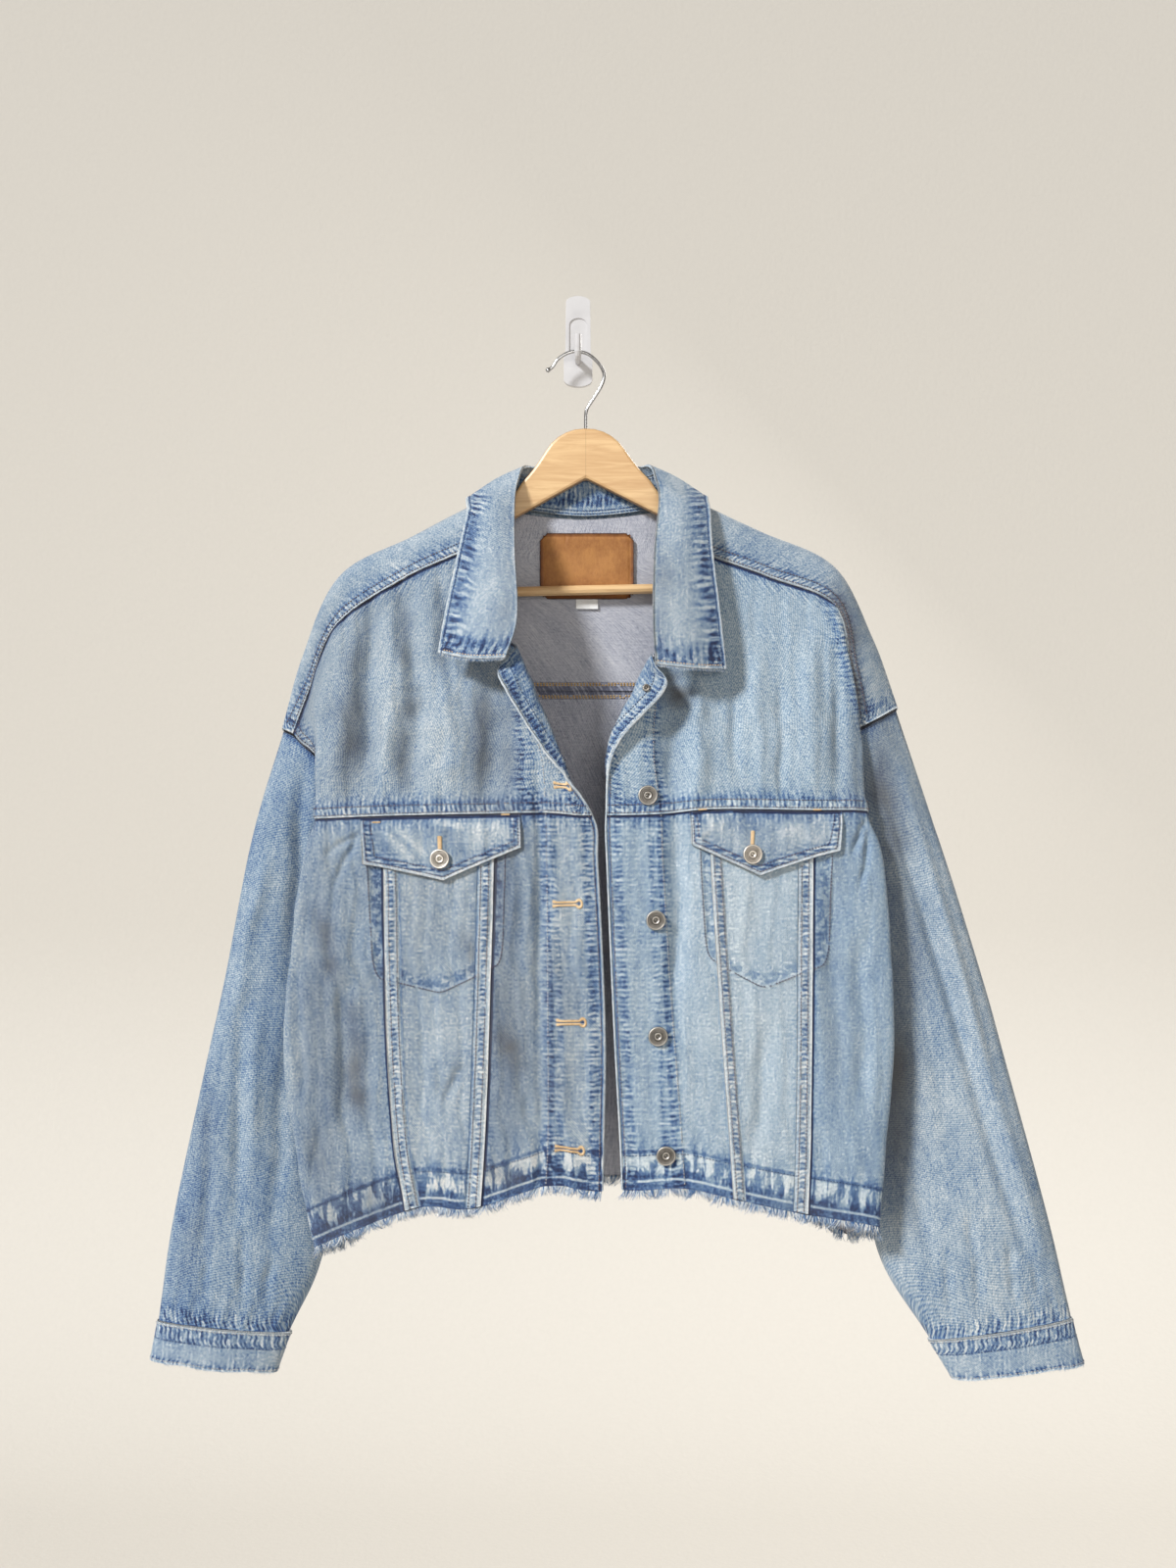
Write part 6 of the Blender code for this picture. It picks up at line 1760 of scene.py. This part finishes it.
def all_buttons():
    """Five down the right front, the first one turned out with the lapel and its tack behind
    it, one on each flap and one on each cuff."""
    net, cloth = FRONT_PLAIN["right"], front_panels["right"]
    for number, (x, z) in enumerate(FRONT_BUTTONS, start=2):
        row, column = place_of(net, x, z, (0.9, INNER))
        button(f"button_front_{number}", cloth.at(row, column)[0], net.normal(row, column)[0])
    column, row = (np.array([value]) for value in TURNED_BUTTON)
    way = net.normal(row, column)[0]
    button("button_front_1", net.at(row, column, TURNED_BUTTON_LIFT)[0], way)
    inside = net.at(row, column, -CLOTH - FACING_GAP - FACING - 2 * LAYER_GAP)[0]
    button("button_back_1", inside, -way, profile=TACK_PROFILE)
    for side, (column, row) in FLAP_BUTTONS.items():
        net = FRONT_PLAIN[side]
        row, column = np.array([row]), np.array([column])
        lift = flap_lift(net, row, column)
        button(f"button_flap_{side}", front_panels[side].at(row, column, lift)[0],
               net.normal(row, column)[0])
    for side in ("left", "right"):
        middle = cuff_grid(side)[0][CUFF_ROWS // 2]
        seat = along(middle, np.array([CUFF_BUTTON_SHARE]))[0]
        button(f"button_cuff_{side}", seat, (0, 1, 0), CUFF_BUTTON_RADIUS / BUTTON_RADIUS)


def cross_stitched(net, cloth, row, column, legs, lift, kept, turn=0.0):
    """Adds stitches to kept: legs hold (along, across) in millimetres about row and column,
    turned by turn and laid on the cloth at lift."""
    along, over = np.array(legs)[..., 0], np.array(legs)[..., 1]
    c, s = math.cos(turn), math.sin(turn)
    columns = net.aside(np.full(along.shape, row), column, -(along * c - over * s), False)
    rows = net.aside(row, columns, -(along * s + over * c), True)
    kept.extend(cloth.at(rows, columns, lift(rows, columns) if callable(lift) else lift))


def keyhole(length):
    """A bar of close cross stitches, wider at its tail, and a ring of them round the eye."""
    reach = np.arange(-length / 2, length / 2, 0.7)
    flare = 2.5 + 1.2 * np.exp(-((reach + length / 2) / 2.2) ** 2)
    legs = [((r, 0.2 * way), (r + 0.2, f * way)) for r, f in zip(reach, flare) for way in (1, -1)]
    eye = length / 2 + 3
    for a in np.linspace(-2.55, 2.55, 34):
        c, s = math.cos(a), math.sin(a)
        legs.append(((eye + EYE_IN * c, EYE_IN * s), (eye + EYE_OUT * c, EYE_OUT * s)))
    return legs, [((length / 2 + 0.8, 0), (eye + 1.6, 0))]


def bar(half_length, half_width):
    """A bar of close cross stitches."""
    return [((r, -half_width), (r + 0.3, half_width))
            for r in np.arange(-half_length, half_length, 0.6)]


def buttonholes():
    """Four along the left placket, the ends of those that the flap buttons fill, and the
    small bars at the flaps' corners."""
    net, cloth = FRONT_PLAIN["left"], front_panels["left"]
    for x, z, length in BUTTONHOLES:
        row, column = place_of(net, x, z, (0.2, PLACKET))
        surface = front_yoke["left"] if row[0] < YOKE_ROW else cloth
        legs, slot = keyhole(length)
        cross_stitched(net, surface, row[0], column[0], legs, 0.35, SATIN)
        cross_stitched(net, surface, row[0], column[0], slot, STITCH_RISE, SLOTS)
    for side, width in (("left", 2.2), ("right", 1.9)):
        net, cloth = FRONT_PLAIN[side], front_panels[side]

        def on_flap(rows, columns):
            """The flap's face and the thread's own thickness."""
            return flap_lift(net, rows, columns) + 0.4
        column, row = FLAP_BUTTONS[side]
        row = net.aside(np.array([row]), np.array([column]), -15.0, True)[0]
        cross_stitched(net, cloth, row, column, bar(8, width), on_flap, SATIN, math.pi / 2)
        for x, z in FLAP_BARS[side]:
            row, column = place_of(net, x, z, (2, 5))
            cross_stitched(net, cloth, row[0], column[0], bar(3.5, 0.8), on_flap, SATIN)


SATIN, SLOTS = [], []
all_buttons()
buttonholes()


# ---------------------------------------------------------------------------------------
# Thread: lockstitch in cotton of seven colours, from pale blue to gold. A stitch is a
# spindle that dips into the cloth at both ends; each colour is one mesh.

STITCH_PITCH, STITCH_SHARE, STITCHES_LOST = 2.8, 0.7, 0.04
THREAD_RADIUS = {"pale": 0.46, "worn": 0.46, "plum": 0.52, "navy": 0.46, "tan": 0.5,
                 "brown": 0.46, "gold": 0.75}
SLOT_RADIUS = 0.5
THREAD_COLOURS = {           # dark and pale
    "pale": ((0.30, 0.30, 0.32), (0.62, 0.6, 0.57)),
    "worn": ((0.05, 0.04, 0.07), (0.29, 0.22, 0.21)),
    "plum": ((0.03, 0.025, 0.06), (0.17, 0.12, 0.15)),
    "navy": ((0.02, 0.035, 0.10), (0.09, 0.14, 0.26)),
    "tan": ((0.56, 0.37, 0.19), (0.86, 0.66, 0.42)),
    "brown": ((0.10, 0.045, 0.015), (0.24, 0.12, 0.05)),
    "gold": ((0.48, 0.29, 0.10), (0.78, 0.54, 0.25)),
}


def spindles(starts, stops, radius):
    """Spindles between pairs of points: two rings of four points and a tip each end."""
    way = stops - starts
    length = np.linalg.norm(way, axis=1, keepdims=True)
    way = way / np.maximum(length, 1e-9)
    side = unit(np.cross(way, np.where(np.abs(way[:, 2:]) > 0.9, (1.0, 0, 0), (0, 0, 1.0))))
    other = np.cross(way, side)
    parts = [starts]
    for share in (0.22, 0.78):
        for one, two in ((1, 0), (0, 1), (-1, 0), (0, -1)):
            parts.append(starts + way * length * share + (side * one + other * two) * radius)
    parts.append(stops)
    points = np.stack(parts, axis=1)
    tips = [(0, 1 + (k + 1) % 4, 1 + k) for k in range(4)]
    tips += [(9, 5 + k, 5 + (k + 1) % 4) for k in range(4)]
    sides = [(1 + k, 1 + (k + 1) % 4, 5 + (k + 1) % 4, 5 + k) for k in range(4)]
    base = np.arange(len(starts))[:, None, None] * 10
    faces = (np.array(tips)[None] + base).reshape(-1, 3).tolist()
    faces += (np.array(sides)[None] + base).reshape(-1, 4).tolist()
    return points.reshape(-1, 3), faces


def stitches(line, chance):
    """Starts and stops of the stitches along a line, at an even pitch, a few worn away."""
    length = chain_length(line)
    count = int(length[-1] / (STITCH_PITCH * MM))
    begin = (np.arange(count) + 0.1) * STITCH_PITCH * MM
    begin = begin[chance.random(count) > STITCHES_LOST]
    ends = begin + STITCH_SHARE * STITCH_PITCH * MM
    return read_at(line, length, begin), read_at(line, length, ends)


def thread_finish(kind):
    """Cotton, faded in patches, with a fuzz of fine fibres."""
    dark, pale = THREAD_COLOURS[kind]
    cotton = Finish(f"cotton_{kind}", roughness=0.75)
    fuzz = cotton.noise(cotton.place(), 700, 2)
    fade = cotton.noise(cotton.place(), 45, 2)
    cotton.drive(base_color=cotton.ramp(fuzz * 0.5 + fade * 0.5, [(0.36, *dark), (0.64, *pale)]))
    cotton.bump(fuzz, 0.0003, 0.5)
    return cotton.material


def threads(name, starts, stops, radius, kind):
    """One mesh of stitches in one colour."""
    points, faces = spindles(np.array(starts), np.array(stops), radius * MM)
    declare(mesh_piece(name, points, faces), thread_finish(kind))


def sew():
    """All stitches, colour by colour, the buttonholes' among the tan ones, and their slots."""
    chance = np.random.default_rng(11)
    for kind, lines in THREADS.items():
        pairs = [stitches(line, chance) for line in lines]
        if kind == "tan":
            pairs.append(tuple(np.array([line[k] for line in SATIN]) for k in (0, -1)))
        starts, stops = (np.vstack([pair[k] for pair in pairs]) for k in (0, 1))
        threads(f"stitches_{kind}", starts, stops, THREAD_RADIUS[kind], kind)
    threads("buttonhole_slots", [line[0] for line in SLOTS], [line[-1] for line in SLOTS],
            SLOT_RADIUS, "navy")


# ---------------------------------------------------------------------------------------
# Frayed ends: the hem's raw edge and the collar's worn tips shed warp and weft threads,
# blue and undyed, which hang and curl a few millimetres past the cloth.

FRAY_BENDS = 5
# Spacing, shortest and longest thread, and thickness, in millimetres.
HEM_FRAY, BACK_HEM_FRAY = (0.16, (5.0, 9.0), 0.34), (0.2, (5.0, 9.0), 0.34)
COLLAR_FRAY, CUFF_FRAY = (0.2, (1.2, 3.4), 0.17), (0.45, (0.6, 2.0), 0.14)


def frayed(name, node, edge, away, face, measures, seed):
    """Three-sided tapering hairs along an edge.

    A hair starts at a random place on the edge and follows away, bent sideways and off the
    cloth by a random slow curve: root + away s + (side a + face b) s².
    """
    spacing, lengths, radius = measures
    chance = np.random.default_rng(seed)
    length = chain_length(edge)
    count = int(length[-1] / (spacing * MM))
    at = chance.random(count) * length[-1]
    root, down, out = (read_at(values, length, at) for values in (edge, away, face))
    side = np.cross(down, out)
    reach = chance.uniform(*lengths, count)[:, None] * MM
    clump = np.sin(at / (4.2 * MM)) + 0.7 * np.sin(at / (1.9 * MM) + 1.0)
    lean, curl = chance.normal(0, 0.28, (2, count, 1)) + 0.3 * clump[None, :, None]
    share = np.linspace(-0.25, 1, FRAY_BENDS)[:, None, None]
    sway = chance.normal(0, 0.2, (count, 1)) + 0.2 * clump[:, None]
    past = np.clip(share, 0, 1)
    path = (root + out * (chance.uniform(-1.0, 0.1, count)[:, None] * MM)
            + down * reach * share + side * reach * (lean * past ** 2 + sway * past)
            + out * reach * curl * 0.4 * past ** 2)
    thick = radius * MM * chance.uniform(0.6, 1.2, (count, 1)) * (1.15 - past * 0.8)
    angle = np.array([0, 2.1, 4.2])[:, None]
    rings = (path[:, :, None] + thick[:, :, None]
             * (np.cos(angle) * side[:, None] + np.sin(angle) * out[:, None]))
    base = np.arange(count)[:, None, None] * FRAY_BENDS * 3
    last = (FRAY_BENDS - 1) * 3
    ends = np.array([(0, 2, 1), (last, last + 1, last + 2)])
    sides = np.roll(grid_faces(FRAY_BENDS, 3, wrap=True)[:, ::-1], 1, axis=1)
    faces = (sides + base).reshape(-1, 4).tolist()
    faces += (ends + base).reshape(-1, 3).tolist()
    hairs = mesh_piece(name, rings.transpose(1, 0, 2, 3).reshape(-1, 3), faces)
    shade = np.repeat(chance.random(count), FRAY_BENDS * 3).astype(np.float32)
    layer = hairs.data.attributes.new("shade", "FLOAT", "POINT")
    layer.data.foreach_set("value", shade)
    declare(hairs, finishes["fray"], node)


def fray_finish():
    """Loose threads, some still dyed blue and some of the undyed weft."""
    cotton = Finish("loose_threads", roughness=0.9)
    shade = cotton.layer("shade", "Fac")
    fuzz = cotton.noise(cotton.place(), 500, 2)
    cotton.drive(base_color=cotton.ramp(shade * 0.8 + fuzz * 0.25, [
        (0.1, 0.04, 0.12, 0.33), (0.4, 0.12, 0.26, 0.5), (0.5, 0.4, 0.55, 0.72),
        (0.58, 0.78, 0.83, 0.87), (0.9, 0.88, 0.89, 0.88)]))
    return cotton.material


def fray_all():
    """The hems of the fronts and the back, the collar's ends and the cuffs' edges."""
    for side, seed in (("left", 5), ("right", 6)):
        cloth, columns = front_panels[side], np.linspace(0.02, 5.98, 600)
        edge = cloth.at(HEM_ROW, columns, -0.5)
        away = unit(edge - cloth.at(HEM_ROW - 0.05, columns, -0.5))
        frayed(f"fray_hem_{side}", f"fringe_{side}", edge, away, cloth.normal(HEM_ROW, columns),
               HEM_FRAY, seed)
    columns = np.linspace(0.03, 5.97, 600)
    edge = back_panel.at(BACK_HEM_ROW, columns, -0.6)
    away = unit(edge - back_panel.at(BACK_HEM_ROW - 0.05, columns, -0.6))
    frayed("fray_hem_back", "fringe_back", edge, away, back_panel.normal(BACK_HEM_ROW, columns),
           BACK_HEM_FRAY, 7)
    columns = np.linspace(0.02, 1.98, 200)
    for name, last, near in (("left", 0.0, 0.05), ("right", 16.0, 15.95)):
        edge = fall.at(last, columns, -1.0)
        away = unit(edge - fall.at(near, columns, -1.0))
        frayed(f"fray_collar_{name}", None, edge, away, fall.normal(last, columns),
               COLLAR_FRAY, 8)
    for side in ("left", "right"):
        points, away = cuff_grid(side)[:2]
        frayed(f"fray_cuff_{side}", None, points[-1] - away[-1] * 1.0 * MM,
               unit(points[-1] - points[-2]), away[-1], CUFF_FRAY, 9)


finishes["fray"] = fray_finish()
fray_all()


# ---------------------------------------------------------------------------------------
# Inside the back yoke: a patch of tan leather with chamfered corners, sewn down all round,
# its edges darkened and puckered by washing, and a small folded care label under it.

PATCH_SIZE, PATCH_CENTRE, PATCH_CORNER = (84, 59), (8, -207.5), 6
PATCH_BACK, PATCH_THICK, PATCH_STITCH_INSET = 13.2, 1.6, 3.2
LABEL_SIZE, LABEL_THICK = (20, 9), 0.7


def chamfered(s, t, inset=0.0):
    """Points of a rectangle with its corners cut off: square shares s and t, drawn in where
    their sum passes the cut's line."""
    wide, tall = PATCH_SIZE[0] / 2 - inset, PATCH_SIZE[1] / 2 - inset
    x, z = s * wide, t * tall
    limit = wide + tall - PATCH_CORNER
    over = np.clip(np.abs(x) + np.abs(z) - limit, 0, None) / 2
    return (PATCH_CENTRE[0] + x - np.sign(x) * over, PATCH_CENTRE[1] + z - np.sign(z) * over)


def patch():
    """The leather, puckered at its edges, pressed in along its stitches and creased once."""
    s, t = np.meshgrid(np.linspace(-1, 1, 85), np.linspace(1, -1, 61))
    x, z = chamfered(s, t)
    edge_x, edge_z = (1 - np.abs(s)) * PATCH_SIZE[0] / 2, (1 - np.abs(t)) * PATCH_SIZE[1] / 2
    to_edge = np.minimum(edge_x, edge_z)
    around = np.where(edge_x < edge_z, z, x)
    out = (PATCH_BACK + PATCH_THICK + 0.4 * uneven(around * 0.42, 1.0) * np.exp(-to_edge / 4)
           - 0.5 * np.exp(-((to_edge - PATCH_STITCH_INSET) / 1.0) ** 2)
           + 0.3 * uneven(x * 0.11, 2.0) * uneven(z * 0.13, 0.5)
           - 0.5 * np.exp(-((x + 2 - 0.05 * z) / 1.6) ** 2) * step(z, -196, -180))
    points = np.stack([x, -out, z], axis=-1) * MM
    piece = wall("patch_leather", points, PATCH_THICK * 0.9, 1, (to_edge * MM, 0, 0))
    hide = Finish("tan_leather", roughness=0.55)
    place = hide.place()
    grain = hide.node("TexVoronoi", {"feature": "F1"}, {"Vector": place, "Scale": 900})
    mottle = hide.noise(place, 90, 4, 0.6)
    cracks = hide.noise(place, (420, 420, 190), 4, 0.7)
    burnt = hide.part(hide.layer("seams"), 0) * 1000
    tone = (burnt.between(0, 3.5) * 0.42 + mottle * 0.5 + cracks * 0.35
            + burnt.between(8, 26) * 0.16)
    hide.drive(base_color=hide.ramp(tone, [
        (0.2, 0.055, 0.014, 0.003), (0.5, 0.185, 0.062, 0.012), (0.75, 0.3, 0.112, 0.024),
        (1.0, 0.45, 0.2, 0.055)]), roughness=0.5 + mottle * 0.3)
    hide.bump(grain * 0.5 + cracks, 0.0006, 0.5)
    declare(piece, hide.material, "leather_patch")
    corners = np.array([(-1, 1), (1, 1), (1, -1), (-1, -1), (-1, 1)], float)
    ring = np.concatenate([np.linspace(a, b, 80) for a, b in zip(corners[:-1], corners[1:])])
    x, z = chamfered(ring[:, 0], ring[:, 1], PATCH_STITCH_INSET)
    face = np.full_like(x, 0.1 - PATCH_BACK - PATCH_THICK)
    THREADS["brown"].append(np.stack([x, face, z], 1) * MM)


def care_label():
    """A folded strip of white satin ribbon, left blank, curling a little at its foot."""
    s, t = np.meshgrid(np.linspace(-0.5, 0.5, 41), np.linspace(0, 1, 25))
    x = PATCH_CENTRE[0] + s * LABEL_SIZE[0]
    z = PATCH_CENTRE[1] - PATCH_SIZE[1] / 2 - 0.3 - t * LABEL_SIZE[1]
    out = PATCH_BACK + LABEL_THICK + 0.7 * t ** 2 + 0.25 * np.sin(s * 5) * t
    piece = wall("label_ribbon", np.stack([x, -out, z], axis=-1) * MM, LABEL_THICK * 0.7, 1)
    satin = Finish("satin_ribbon", roughness=0.5)
    place = satin.place()
    rib = satin.noise(place, (300, 300, 2500), 2)
    fade = satin.noise(place, 120, 2)
    satin.drive(base_color=satin.ramp(rib * 0.5 + fade * 0.5, [
        (0.3, 0.66, 0.66, 0.65), (0.7, 0.86, 0.86, 0.85)]))
    satin.bump(rib, 0.0002, 0.5)
    declare(piece, satin.material, "care_label")


patch()
care_label()
sew()

bpy.context.scene.view_settings.view_transform = "Standard"
